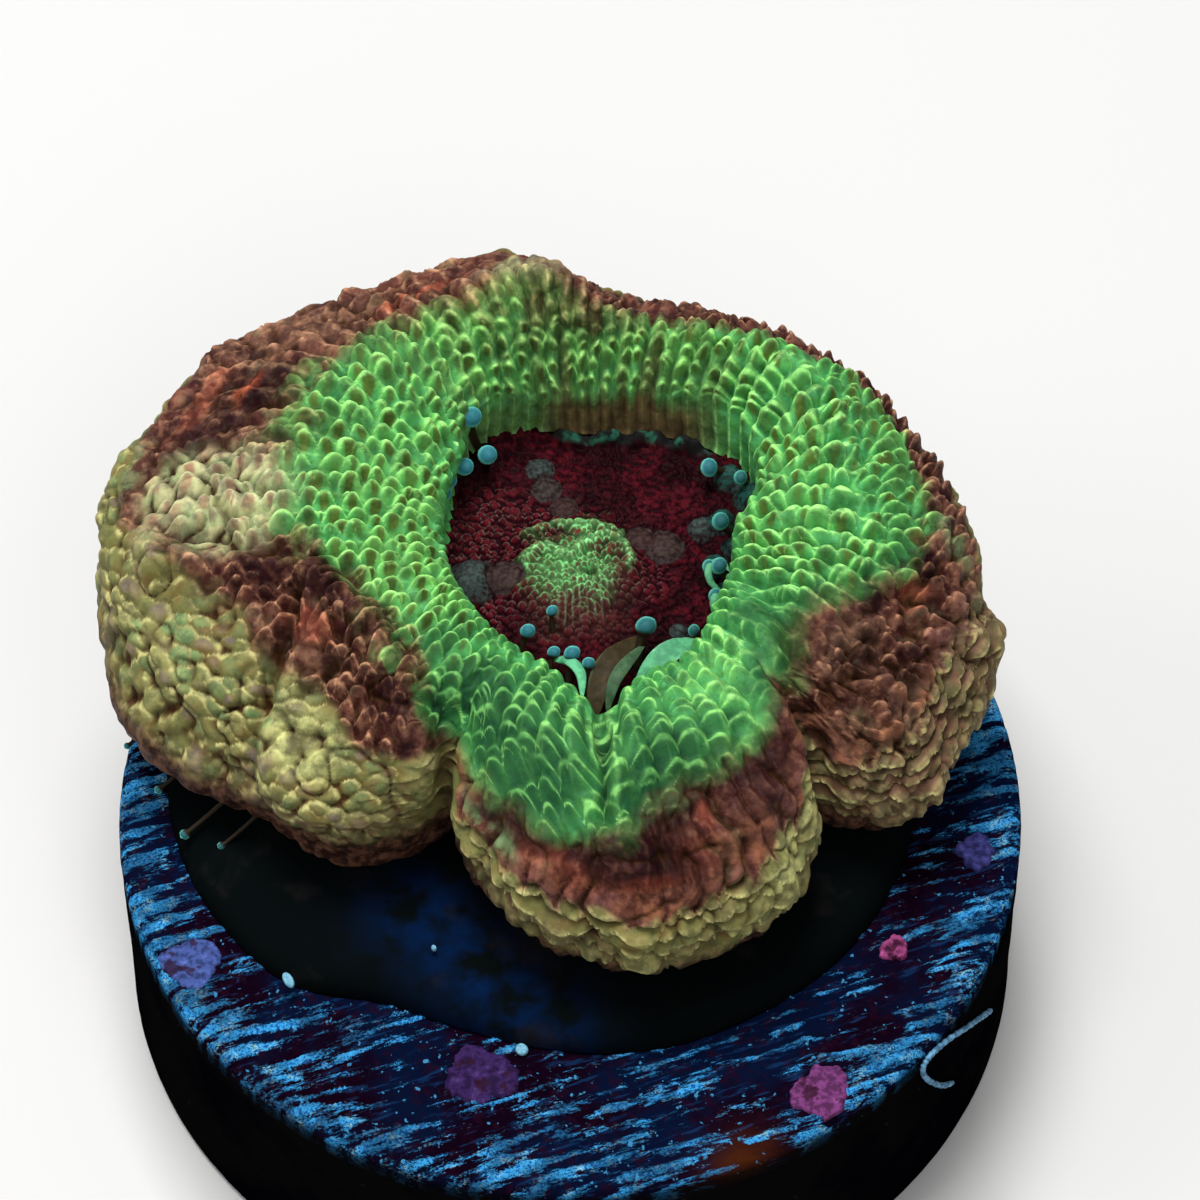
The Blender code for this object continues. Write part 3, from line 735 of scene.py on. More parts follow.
def tissue_grid(sizes, stations, degrees):
    """Points, normals and marks of the tissue from the foot of the wall to the cut.

    The smooth skin is pushed out along its normal by a sum of reliefs, each times its own share of the surface:
    ridges, which are 1 - |2x - 1|^2.2 across a row of teeth; teeth, knobs, cobbles and ledges, which are a
    lattice's domes less about their mean; pleats and threads, which are |sin| of the angle; creases, a high power
    of 1 - |noise|; folds; and broad noise. Then the teeth's tips are lifted, and the ledges' edges are drawn down
    and to the front. wander and quiver are broad and fine noise that bend every border and every row.
    """
    smooth = coral_surface(stations, degrees)
    normal = grid_normals(smooth)
    onward = unit(np.roll(smooth, -1, axis=1) - np.roll(smooth, 1, axis=1))
    down = unit(np.gradient(smooth, axis=0))
    lean = onward @ FRONT, down @ FRONT
    s, angle = stations[:, None], degrees[None, :]
    turn = angle / 360
    # how far down the skin each point is, in mm, from the widest line and from the lip
    run = np.linalg.norm(np.diff(smooth, axis=0), axis=-1)
    run = np.concatenate([np.zeros((1, len(degrees))), np.cumsum(run, axis=0)])
    below = run - np.array([np.interp(WIDEST, stations, column) for column in run.T])
    run = run - np.array([np.interp(LIP_LINE, stations, column) for column in run.T])
    wander, quiver = rough(smooth, 2.2, 11), rough(smooth, 0.9, 21)

    # the lattices
    tooth_pitch, outer_pitch, cobble_pitch, ledge_pitch = in_mm(
        sizes, "tooth_pitch", "outer_pitch", "cobble_pitch", "ledge_pitch"
    )
    outer_height, cobble_height, ledge_height = in_mm(sizes, "outer_height", "cobble_height", "ledge_height")
    density = round_curve(ROW_DENSITY, degrees)
    across = np.cumsum(density) / np.sum(density) * sizes.inner_rows
    across = across + 0.45 * noise(smooth, 2.5, 31) + 0.15 * quiver
    inner = Lattice(
        across, run / tooth_pitch + 0.45 * quiver, sizes.inner_rows, 101, (0.58, 0.78), lean, (0.26, 0.4),
        net=True, rim=0.23,
    )
    outer = Lattice(
        turn * sizes.outer_rows + 0.7 * wander + 0.45 * quiver, run / outer_pitch + 0.5 * wander + 0.4 * quiver,
        sizes.outer_rows, 102, (0.62, 0.78), lean, (0.4, 0.42), net=True, rim=0.14,
    )
    cobble = Lattice(
        turn * sizes.cobble_rows + 0.5 * wander + 0.3 * quiver + 0.4 * run / cobble_pitch,
        run / cobble_pitch + 0.4 * wander + 0.35 * quiver, sizes.cobble_rows, 103, (0.8, 0.86), lean, (0.36, 0.36),
        power=0.8,
    )
    knob = Lattice(
        turn * sizes.outer_rows + 0.7 * wander + 0.5 * quiver, run / outer_pitch + 0.6 * wander + 0.5 * quiver,
        sizes.outer_rows, 105, (0.74, 0.8), lean, (0.44, 0.42), power=1.2,
    )
    ledge = Lattice(
        turn * sizes.ledge_rows + 0.8 * wander + 0.25 * quiver,
        below / ledge_pitch * (1 + 0.22 * bell(angle - 328, 16)) + 0.35 * wander + 0.12 * quiver,
        sizes.ledge_rows, 106, (0.9, 0.8), (0 * run, 0 * run - 1), (0.3, 0.13), slope=1.0,
    )
    far_out = step(*INNER_ENDS, s + 0.25 * wander)
    tooth_dome, tooth_spot, tooth_highlight, tooth_cup, tone = (
        blend(getattr(inner, part), getattr(outer, part), far_out) for part in Lattice.PARTS
    )

    # shares of the surface, from 0 to 1
    ledged = round_curve(LEDGES, degrees) + 0.9 * bell(angle - 330, 18) * step(9.2, 10.0, s)
    ledged = np.clip(ledged, 0, 1)
    spines = round_curve(SPINES, degrees)
    far_left = bell(angle - 126, 32)
    past = s - round_curve(GREEN_ENDS, degrees)
    border = past + (0.4 - 0.15 * ledged) * wander + 0.2 * quiver + (0.25 - 0.2 * ledged) * (tone - 0.5)
    green = 1 - step(-1, 1, border / (0.26 + 0.4 * bell(angle - 100, 45)))
    pleat = np.abs(np.sin(math.pi * (turn * PLEATS + 1.1 * wander + 0.35 * quiver)))
    thread = np.abs(np.sin(math.pi * (turn * THREADS + 1.6 * wander + 0.7 * quiver)))
    spill = step(0.15, 0.6, flow_noise(turn * DRIPS, 0 * run, 54))
    drips = ledged * (0.3 * pleat - 0.1 - 0.45 * spill)
    yellow = step(-0.12, 0.12, s + 0.4 * wander + 0.15 * quiver + drips - round_curve(YELLOW_BEGINS, degrees))
    yellow = yellow * (1 - green)
    brown = (1 - green) * (1 - yellow)
    cream = patches(CREAM_PATCHES, degrees, stations, 0.35 * wander)
    toothy = cream * (1 - green)
    under = step(11.35, 11.75, s + 0.3 * wander)
    skirt = np.maximum(yellow * (1 - toothy), under)
    wall = 1 - step(6.6, 7.25, s + 0.2 * wander)
    soft = patches(SMOOTH_PATCHES, degrees, stations, 0.15 * wander)
    tan = patches(TAN_PATCHES, degrees, stations, 0.4 * wander)
    draped, band, rugged = brown * ledged, brown * (1 - wall), (1 - green) * (1 - under)
    radial = green + (0.8 + 0.9 * far_left) * brown * (1 - step(0.0, 0.9 + 1.6 * far_left, past)) * (1 - ledged)
    notch = 0.5 * bell(angle - POINT, 3.6) * bell(s - 7.2, 0.6)
    seam = angle - SEAM + 1.6 * wander + 0.5 * quiver
    pair = bell(np.abs(seam) - 1.9, 0.8) * (step(6.9, 7.3, s) - step(8.6, 9.1, s + 0.3 * quiver))
    cleft = bell(seam, 1.0) * (step(6.9, 7.3, s) - step(8.6, 9.1, s))

    # relief, in mm
    column = across % 1
    ridge = np.clip(1 - np.abs(2 * column - 1) ** 2.2, 0, 1)
    side_on = step(0.15, 0.6, np.abs(lean[0]))
    # A line along each ridge, moved to its side away from the front, where the look paints a highlight.
    ridge_highlight = side_on * bell(column - 0.5 + 0.26 * lean[0], 0.13)
    ridge_highlight = ridge_highlight + 0.6 * (1 - side_on) * bell(column - 0.5, 0.09)
    ridge_height = round_curve(RIDGE_HEIGHT, degrees)
    teeth = green * (1 - wall) * (1 - 0.85 * soft) * (1 - 0.8 * notch) * round_curve(TOOTH_HEIGHT, degrees)
    spiky = step(-0.4, 0.4, noise(smooth, 2.2, 43) - 0.8 * (ledged - 0.3) + 0.5 * spines) * (1 - 0.6 * far_left)
    spiky = outer_height * blend(band * spiky, 0.85, toothy)
    barb = blend(blend(knob.dome, outer.dome, spines), outer.dome, toothy)
    crease = creases(noise(smooth, 1.1, 51), 7)
    wrinkle = creases(flow_noise(turn * WRINKLES, run / 0.5, 52), 4)
    long_ridge = creases(flow_noise(turn * LONG_RIDGES + 0.5 * wander, run / 0.85 + 0.8 * wander, 57), 5)
    long_ridge = far_left * band * long_ridge
    ribs = radial * (1 - wall) * (1 - far_out * green) * (1 - 0.7 * soft) * (1 - notch) * ridge_height
    height = (
        wall * (0.26 * ridge * (0.65 + 0.5 * wander) - 0.1 + 0.1 * quiver)
        + ribs * (ridge - 0.6)
        + teeth * (tooth_dome - 0.4)
        + spiky * (barb - 0.5)
        + 0.2 * pair - 0.25 * cleft + 0.24 * long_ridge
        + skirt * (1 - ledged) * cobble_height * (cobble.dome - 0.6)
        + skirt * ledged * ledge_height * (ledge.dome - 0.6)
        + draped * (0.26 * pleat + 0.08 * thread + 0.08 * ledge.dome + 0.2 * noise(smooth, 0.8, 56) - 0.14)
    )
    lump = 0.36 * noise(smooth, 2.4, 41) + 0.14 * noise(smooth, 1.2, 42) - 0.2 * crease - 0.2 * tan * wrinkle
    lump = 0.08 * wander * green + 0.04 * quiver + rugged * lump
    pitted = 0.07 * rough(smooth, 0.7, 45, 4) - 0.05 * creases(noise(smooth, 0.6, 53), 5)
    lump += brown * (1 - 0.5 * ledged) * pitted
    on_crown = step(7.0, 7.6, s) * (1 - step(12.6, 13.4, s))
    top = step(4.0, 7.0, smooth[..., 2] - DISC_TOP) * step(7.0, 7.5, s)
    height = height + on_crown * lump + top * fold_lift(smooth[..., :2])
    settle = 1 - step(13.2, 14.0, s)
    points = smooth + normal * (height * settle)[..., None]
    points[..., 2] += settle * (0.4 * tooth_dome * teeth + (0.15 + 0.35 * spines) * barb * spiky)
    points += FRONT * (0.14 * settle * (skirt + 0.2 * draped) * ledged * ledge.edge)[..., None]
    points[..., 2] = np.maximum(points[..., 2], PAD_TOP - 0.3 * step(13.0, 14.0, s))
    normals = grid_normals(points)

    # marks for the look
    fine, broad = hollowness(points, normals, 3), hollowness(points, normals, 9)
    toothed = (1 - wall) * (1 - skirt)
    leafy, knobby = green * (1 - wall), spiky / outer_height
    crown = leafy * tooth_dome + knobby * barb + skirt * blend(cobble.dome, ledge.dome, ledged)
    crown += np.clip(toothed - leafy - knobby, 0, 1) * (0.7 - 0.5 * ledged * (1 - pleat) ** 2)
    # edge: where the look paints highlights, along the crests and rims of the teeth, ridges, knobs, cobbles,
    # ledges and pleats, and along the tips of the drips.
    edge = leafy * np.maximum(tooth_highlight, ridge_highlight * (1 - far_out) * ridge_height / 0.34)
    edge += band * radial * ridge_highlight * 0.7 + knobby * blend(knob.edge, outer.edge, spines)
    edge += skirt * blend(cobble.edge, ledge.edge, ledged) + wall * ridge_highlight
    edge += 0.35 * far_left * band * outer.edge + 0.9 * long_ridge * step(-0.3, 0.3, quiver)
    edge += draped * (0.22 * ledge.edge + 0.4 * bell(pleat - 0.35, 0.12)) + 2.4 * ledged * yellow * (1 - yellow)
    edge += 0.7 * pair * step(-0.5, 0.2, quiver)
    spot = leafy * tooth_spot * (1 - soft) * round_curve(SPOTTED, degrees) + toothy * outer.spot
    spot += (skirt + knobby * (1 - toothy)) * (1 - ledged) * cobble.spot
    share = past / np.maximum(round_curve(YELLOW_BEGINS, degrees) - round_curve(GREEN_ENDS, degrees), 0.4)
    bay = step(42, 64, angle) * (1 - step(96, 116, angle))
    bay = np.maximum(bay, 0.5 * step(100, 112, angle) * (1 - step(126, 142, angle)))
    streaky = flow_noise(turn * STREAKS, run / 4, 55)
    fringe = bell(past + 0.35 * wander + 0.15, 0.3) * step(-0.25, 0.35, quiver)
    marks = {name: patches(table, degrees, stations, 0.35 * wander) for name, table in PATCHES.items()}
    marks["deep"] = np.maximum(marks["deep"], draped * (1 - step(0.15, 0.6, share + 0.5 * wander + 0.3 * quiver)))
    marks["shade"] = np.maximum(marks["shade"], (0.5 + 0.45 * ledged) * fringe)
    marks |= {
        "cream": cream,
        "crown": crown,
        "edge": edge * (1 - 0.5 * soft * toothed),
        # hollow marks the dips, which the look darkens as painted shade, and ridge the crests, which it brightens
        # as painted highlights.
        "hollow": np.clip(4.5 * fine + 1.6 * broad, 0, 1),
        "ridge": np.clip(-4.5 * fine - 1.2 * broad, 0, 1),
        "spot": spot,
        "cup": leafy * tooth_cup,
        "tone": np.select(
            [skirt <= 0.5, ledged > 0.5], [np.where(green > 0.5, tone, knob.tone), ledge.tone], cobble.tone,
        ),
        "green": green,
        "yellow": yellow,
        "under": under,
        "soft": soft,
        "crease": rugged * np.maximum(crease, tan * wrinkle),
        "tan": tan,
        "depth": wall * (1 - step(5.3, 7.3, s + 0.5 * quiver - 0.7 * bell(angle - 92, 17))),
        "dusk": bay * (1 - step(6.3, 8.3, s + 0.3 * wander + 1.1 * streaky)),
        "drape": draped * step(0.2, 0.8, share + 0.3 * wander),
    }
    return points, normals, marks


BLACK = (0.0, 0.0, 0.0)


def tissue_look(colours):
    """Green, brown and yellow tissue: each tooth has a painted highlight along its rim, a dark spot and a tone of
    its own.

    A leaf, a rust, a straw and a cream skin are built up in coats, and the marks lay them over one another. The
    dips and low parts are darkened as painted shade, and the green tissue has a faint painted glow.
    """
    look = Look(
        "coral_tissue", colours.body_green, roughness=0.55, subsurface_weight=0.05,
        subsurface_radius=(1.0, 0.9, 0.4), subsurface_scale=0.15 * MM, sheen_weight=0.015, sheen_roughness=0.4,
        sheen_tint=(0.85, 0.85, 0.6), specular_ior_level=0.08, emission_strength=0.22,
    )
    crown, edge, spot, tone, hollow, ridge = look.marks("crown", "edge", "spot", "tone", "hollow", "ridge")
    green, yellow, sunny, shade, olive = look.marks("green", "yellow", "sunny", "shade", "olive")
    soft, cup, depth, dusk, tan, mint = look.marks("soft", "cup", "depth", "dusk", "tan", "mint")
    deep, drape, orange, cream, under, crease = look.marks("deep", "drape", "orange", "cream", "under", "crease")
    blotch = look.noise(0.55, detail=3.0)
    mottle = look.noise(1.3, detail=5.0, roughness=0.65)
    speckle, grain = look.noise(2.6), look.noise(9.0, detail=2.0)
    fleck = speckle.step(0.4, 0.62)
    # rim is the painted highlight, brightest on the edges and crests.
    rim = (edge.step(0.2, 0.9) * 0.85 + ridge.step(0.15, 0.8) * 0.3).math("MINIMUM", 1.0)

    body = look.mix(colours.body_green, (0.18, 0.50, 0.12), sunny)
    # In the leaf, the shade-green coat over the dips and the coat on each tooth's cup, its front slope, are
    # painted shade, the first mixed with a random mottle; the bright coat on the rims is a painted highlight.
    leaf = look.coats(
        look.mix(look.mix(body, (0.08, 0.36, 0.17), fleck * 0.6), body, crown.step(0.1, 0.6)),
        (colours.shade_green, (hollow + mottle.step(0.5, 0.72) * 0.5) * (0.9 - 0.25 * sunny)),
        ((0.045, 0.19, 0.06), soft * 0.85),
        ((0.022, 0.16, 0.045), cup * (0.68 - 0.2 * sunny)),
        (colours.olive, olive * 0.6),
        (colours.olive, spot.step(0.0, 0.6) * (0.25 + 0.75 * tone.step(0.1, 0.7))),
        ((0.004, 0.034, 0.013), shade * (0.92 - 0.4 * rim) * (0.6 + 0.4 * mottle.step(0.36, 0.62))),
        ((0.003, 0.016, 0.007), shade * hollow * 0.9),
        (colours.highlight_green, rim * (0.95 - 0.4 * olive - 0.6 * shade) * (0.4 + 0.6 * fleck)),
    )
    # On the wall, the bright coat on the rims is a painted highlight and the dark coat in the dips painted shade.
    wall = look.coats(
        look.mix((0.10, 0.125, 0.045), (0.13, 0.07, 0.035), depth.step(0.1, 0.9)),
        ((0.22, 0.34, 0.11), rim * fleck * (1 - 0.7 * depth)),
        ((0.02, 0.012, 0.006), hollow * 0.8),
    )
    leaf = look.mix(leaf, wall, dusk * 0.95)

    mauve = look.mix((0.20, 0.075, 0.040), (0.13, 0.055, 0.055), look.noise(0.3).step(0.4, 0.6))
    # In the rust, deep brown in the low parts is painted shade mixed with random blotches, the pale coat on the
    # rims a painted highlight, and the orange coat, which is stronger on the rims, partly a painted highlight.
    rust = look.coats(
        look.mix(colours.deep_brown, colours.brown, crown.step(0.0, 0.7) * (0.3 + 0.7 * blotch.step(0.35, 0.6))),
        ((0.16, 0.08, 0.055), mottle.step(0.5, 0.68) * 0.4),
        ((0.15, 0.085, 0.055), tan * 0.8),
        (colours.deep_brown, spot.step(0.0, 0.6) * 0.7),
        (colours.brown_highlight, (rim + fleck * 0.15) * (0.4 + 0.6 * fleck)),
        ((0.20, 0.19, 0.10), blotch.step(0.56, 0.7) * 0.35),
        (mauve, drape * (0.35 + 0.65 * mottle.step(0.36, 0.6)) * crown.step(0.2, 0.7)),
        ((0.10, 0.22, 0.10), mint * mottle.step(0.36, 0.56) * 0.75),
        ((0.013, 0.001, 0.003), deep * (0.99 - 0.25 * rim) * (0.75 + 0.25 * blotch.step(0.36, 0.6))),
        (colours.orange, orange * (0.35 + 0.6 * rim)),
    )

    straw = look.coats(
        colours.yellow,
        ((0.15, 0.18, 0.07), tone.step(0.4, 0.9) * 0.5),
        ((0.19, 0.14, 0.07), (1 - tone.step(0.1, 0.5)) * 0.4),
    )
    # The crevice colour in the low parts is painted shade, and the pale coat on the rims a painted highlight.
    straw = look.coats(
        look.mix(colours.crevice_shade, straw, crown.step(0.0, 0.48)),
        ((0.22, 0.17, 0.16), spot.step(0.3, 0.9) * (1 - tone.step(0.12, 0.3)) * 0.6),
        ((0.14, 0.27, 0.12), spot.step(0.1, 0.8) * tone.step(0.35, 0.8) * 0.22),
        ((0.10, 0.052, 0.018), mottle.step(0.45, 0.62) * 0.65),
        ((0.125, 0.06, 0.042), tan * (0.65 + 0.3 * mottle.step(0.4, 0.6))),
        ((0.40, 0.42, 0.17), sunny * (0.4 + 0.45 * mottle.step(0.36, 0.6))),
        (colours.mint, mint * spot.step(0.1, 0.6) * tone.step(0.45, 0.8) * 0.65),
        (colours.yellow_edge, rim * (0.32 + 0.45 * fleck)),
    )
    # The pale patch is darker in its low parts, which is painted shade, and cream on its rims is a painted
    # highlight.
    pale = look.coats(
        look.mix((0.20, 0.22, 0.10), (0.42, 0.43, 0.23), crown.step(0.05, 0.6)),
        ((0.27, 0.42, 0.18), tone.step(0.4, 0.9) * 0.6),
        (colours.cream, rim * 0.9),
        (colours.rose, spot.step(0.2, 0.8) * (0.25 + 0.45 * (1 - tone))),
    )
    belly = look.mix((0.03, 0.010, 0.007), (0.10, 0.045, 0.028), fleck)
    # dents: painted shade in the creases and, off the green, in the dips.
    dents = crease.step(0.25, 0.9) * 0.4 + (1 - green) * hollow * (0.85 - 0.15 * yellow)
    skin = look.coats(
        rust, (straw, yellow), (leaf, green), (pale, cream * 0.9), (belly, under), ((0.03, 0.011, 0.003), dents)
    )
    shading = look.mix((0.62, 0.60, 0.62), (1.22, 1.2, 1.12), mottle.step(0.36, 0.62))
    skin = look.mix(look.mix(skin, shading, 1.0, "MULTIPLY"), BLACK, grain.step(0.55, 0.8) * 0.25)
    # The emission is a painted glow: the green tissue glows a little, most on its rims, though it is no lamp.
    return look.feed(
        base_color=skin,
        emission_color=look.mix(BLACK, skin, green * (0.4 + 0.6 * rim)),
        normal=look.bump(speckle * 0.6 + grain * 0.4, 0.6, 0.06),
    )


UNDERSIDE_ROWS = 28


class CORAL_OT_tissue(bpy.types.Operator):
    """Makes the ring of tissue in bands of points, each short enough to keep its detail"""

    bl_idname = "coral.tissue"
    bl_label = "Tissue"

    def execute(self, context):
        sizes, look = context.scene.coral_sizes, tissue_look(context.scene.coral_colours)
        degrees = all_round(sizes.ring_points)
        top = even_stations(TISSUE_STARTS, WIDEST, sizes.tissue_rows)
        bottom = even_stations(WIDEST, CUT, UNDERSIDE_ROWS)
        stations = np.concatenate([top, bottom[1:]])
        points, normals, marks = tissue_grid(sizes, stations, degrees)
        third = sizes.tissue_rows // 3
        bands = {
            "coral_wall": (0, third),
            "coral_crown": (third, 2 * third),
            "coral_shoulder": (2 * third, sizes.tissue_rows - 1),
            "coral_underside": (sizes.tissue_rows - 1, len(stations) - 1),
        }
        for name, (first, last) in bands.items():
            rows = slice(first, last + 1)
            put_mesh(
                name, points[rows], [ring_faces(last + 1 - first, sizes.ring_points)], look,
                {mark: values[rows] for mark, values in marks.items()}, normals[rows], replaces=("coral",),
            )
        return {"FINISHED"}


# ---------------------------------------------------------------- the oral disc

# Blisters: place on the plan in mm, radius, height, and 0 for brown, 1 for slate or 2 for dark teal.
BLISTERS = (
    ((-3.4, 6.4), 1.0, 0.7, 1.0), ((-2.25, 6.45), 0.75, 0.35, 0.25), ((-0.99, 11.35), 0.68, 0.4, 1.0),
    ((-0.75, 10.5), 0.7, 0.22, 0.4), ((-0.15, 9.7), 0.6, 0.2, 0.15), ((3.4, 7.9), 0.85, 0.28, 0.25),
    ((2.6, 8.3), 0.6, 0.18, 0.15), ((4.75, 8.7), 0.55, 0.45, 1.1), ((5.5, 8.95), 0.55, 0.6, 2.0),
    ((5.25, 7.0), 0.55, 0.5, 2.0), ((5.9, 7.8), 0.5, 0.5, 1.8), ((5.75, 10.9), 0.6, 0.5, 1.7),
    ((5.5, 5.9), 0.45, 0.4, 1.9), ((6.5, 10.0), 0.6, 0.6, 2.0), ((3.9, 4.2), 0.4, 0.3, 1.2),
)
# Lips of the mound round the mouth: the route on the plan in mm and the width.
LIPS = (
    (((-1.8, 5.9), (-1.76, 6.6), (-1.6, 7.15), (-1.2, 7.5), (-0.85, 7.6), (-0.4, 7.25), (0.05, 6.95)), 0.24),
    (((0.05, 6.95), (0.45, 7.45), (0.8, 7.85), (1.3, 8.15), (1.95, 7.95), (2.25, 7.2), (2.1, 6.7)), 0.22),
    (((-1.6, 8.3), (-0.9, 8.6), (-0.1, 8.75), (1.0, 8.65), (2.0, 8.3)), 0.2),
)


def oral_grid(degrees, shares):
    """Points and marks of the oral disc: a flat plate, in mm, with reliefs added to its height.

    The mound is a smooth step of the distance from its middle, and the lips on it are bells of the distance from
    their routes. Folds down its front are a cosine across a fan of lines. Beads are a lattice's domes, blisters
    are (1 - d^2)^0.9 of the distance from their middles, and the rim at the back is ruffled by a sine of the
    angle.
    """
    foot = round_curve(FOOT, degrees)
    turn = np.radians(degrees)[None, :]
    radius = shares[:, None] * foot[None, :]
    plan = MOUTH + radius[..., None] * compass(turn)
    points = at_height(plan, DISC_TOP + ORAL_HEIGHT)
    wander = rough(points, 1.6, 61)
    quiver = noise(points, 0.5, 64)
    x, y = np.moveaxis(plan, -1, 0)
    mound = 1 - step(0.1, 1.25, np.hypot((x - 0.2) / 2.8, (y - 6.6) / 3.0) + 0.2 * wander)
    lip = np.max([bell(route_gap(plan, route), width) for route, width in LIPS], axis=0)
    mouth = bell(np.hypot(x - 1.3, (y - 7.0) / 0.7), 0.45)

    drift = rough(points, 1.1, 66)
    bead = Lattice(
        (0.8 * x + 0.6 * y) / 0.25 + 1.1 * drift + 0.35 * quiver,
        (0.8 * y - 0.6 * x) / 0.26 + 1.1 * wander + 0.3 * quiver,
        64, 104, (0.62, 0.66), (0 * radius - 0.5, 0 * radius - 0.66), (0.38, 0.38), power=0.9,
    )
    front = (1 - step(0.3, 1.35, np.abs(x - 0.35) / 1.9 + 0.4 * wander)) * step(3.0, 5.6, y + 0.8 * drift)
    front = front * (1 - step(6.4, 7.6, y + 0.5 * wander))
    fan = (x - 0.4) / (1 + 0.14 * (7 - y))
    fold = 0.5 + 0.5 * np.cos(2 * math.pi * fan / 0.21 + 1.6 * noise(points, 0.5, 63) + 3.0 * wander)
    fold = fold * (0.45 + 0.55 * step(-0.35, 0.35, noise(points, 0.45, 67)))
    lift = 0.75 * mound + 0.36 * lip - 0.25 * mouth + 0.07 * front * (fold - 0.4)
    lift += 0.15 * bead.dome * (1 - 0.4 * front) + 0.14 * wander * step(1.0, 3.0, radius)
    slate, blister = np.zeros(radius.shape), np.zeros(radius.shape)
    for place, width, rise, tint in BLISTERS:
        gap = np.hypot(x - place[0], y - place[1]) / width + 0.28 * wander + 0.08 * quiver
        dome = np.clip(1 - gap**2, 0, 1) ** 0.9
        lift = lift * (1 - 0.7 * step(0.0, 0.4, dome)) + 1.25 * rise * dome * (1 + 0.1 * quiver)
        slate = np.where(dome > 0, tint, slate)
        blister = np.maximum(blister, dome)
    out = shares[:, None]
    rim = step(0.89, 0.95, out) * (step(45, 60, degrees) - step(98, 106, degrees))
    lift = lift + rim * (0.4 + 0.25 * np.sin(turn * 27 + 3 * wander) + 0.2 * quiver - 1.2 * step(0.97, 1.0, out))
    points[..., 2] += lift * step(0.0, 0.3, radius) + FOOT_RISE * step(0.9, 1.0, out) * (1 - rim)
    off_middle = np.hypot((x - 0.15) / 2.05, (y - 6.95) / 2.05)
    marks = {
        "crown": bead.dome * (1 - step(0, 0.3, blister)),
        "edge": bead.edge * (1 - step(0, 0.3, blister)),
        "tone": bead.tone,
        "slate": slate,
        "blister": blister,
        "lip": lip,
        "meadow": 1 - step(0.15, 1.4, off_middle + 0.45 * drift + 0.25 * quiver),
        "rim": rim,
        "fold": fold * front,
        "front": front,
        "pale": 1 - step(0.55, 1.2, np.hypot((x + 1.2) / 4.7, (y - 7.4) / 3.7) + 0.3 * wander),
    }
    return points, marks


def oral_look(colours):
    """Maroon ridges with red beads, a green mouth, slate blisters and a teal rim, with painted highlights on the
    beads' back rims and the blisters, painted shade at the blisters' feet and a painted glow on the lips.
    """
    look = Look(
        "coral_oral_disc", colours.maroon, roughness=0.5, specular_ior_level=0.03, emission_strength=0.3,
    )
    crown, edge, tone, lip, fold, front = look.marks("crown", "edge", "tone", "lip", "fold", "front")
    pale, meadow, slate, blister, rim = look.marks("pale", "meadow", "slate", "blister", "rim")
    speckle = look.noise(4.0)
    fleck = speckle.step(0.42, 0.6)
    net = look.mix((0.085, 0.008, 0.013), (0.17, 0.12, 0.10), pale)
    ribbed = (fold.step(0.25, 0.9) * (0.35 + 0.65 * fleck) + edge * 0.25).math("MINIMUM", 1.0)
    # The net coat on the beads' back rims is a painted highlight.
    skin = look.coats(
        colours.maroon,
        (colours.maroon_bead, crown.step(0.3, 0.9) * (0.25 + 0.75 * tone) * (0.55 + 0.45 * pale)),
        (net, edge.step(0.1, 0.8) * (0.3 + 0.5 * fleck)),
        ((0.006, 0.001, 0.002), look.noise(0.5).step(0.44, 0.62) * (0.88 - 0.55 * pale)),
        (look.mix((0.045, 0.013, 0.012), (0.15, 0.18, 0.095), ribbed), front * 0.85),
    )
    # The bright coat is a painted highlight on the beads' back rims and the lips' own pale green on the lips.
    grass = look.coats(
        look.mix((0.06, 0.21, 0.07), (0.14, 0.50, 0.15), (meadow + lip).step(0.4, 1.2)),
        ((0.29, 0.68, 0.27), (edge.step(0.05, 0.6) * 0.4 + lip.step(0.3, 0.9) * 0.6) * (0.4 + 0.6 * fleck)),
        ((0.10, 0.045, 0.025), crown.step(0.6, 1.0) * (1 - edge) * (1 - lip * 0.7) * tone),
    )
    # dull darkens each blister towards its foot, which is painted shade, mixed with a random mottle; the pale ring
    # near the foot is a painted highlight.
    dull = look.noise(6.0, detail=3.0).step(0.4, 0.6) * 0.65 + (1 - blister.step(0.4, 0.9)) * 0.35
    bulb = look.coats(
        (0.05, 0.02, 0.016),
        (colours.slate, slate),
        ((0.012, 0.075, 0.06), slate.step(1.2, 1.9)),
        ((0.014, 0.006, 0.008), dull),
        ((0.10, 0.095, 0.085), blister.step(0.05, 0.25) * (1 - blister.step(0.25, 0.6)) * 0.22 * fleck),
    )
    ruffle = look.mix((0.012, 0.012, 0.012), (0.025, 0.11, 0.075), look.noise(1.5).step(0.5, 0.66))
    green = (meadow * 0.8 + lip * 0.45 + edge * 0.5 * meadow).step(0.2, 1.05)
    skin = look.coats(
        skin,
        (grass, green * (0.5 + 0.5 * edge.step(0.0, 0.4)) * (0.55 + 0.45 * fleck)),
        (bulb, blister.step(0.0, 0.35)),
        (ruffle, rim.step(0.2, 0.8)),
    )
    # The lips' emission is a painted glow.
    return look.feed(
        base_color=skin, emission_color=look.mix(BLACK, skin, lip), normal=look.bump(speckle, 0.5, 0.03),
    )


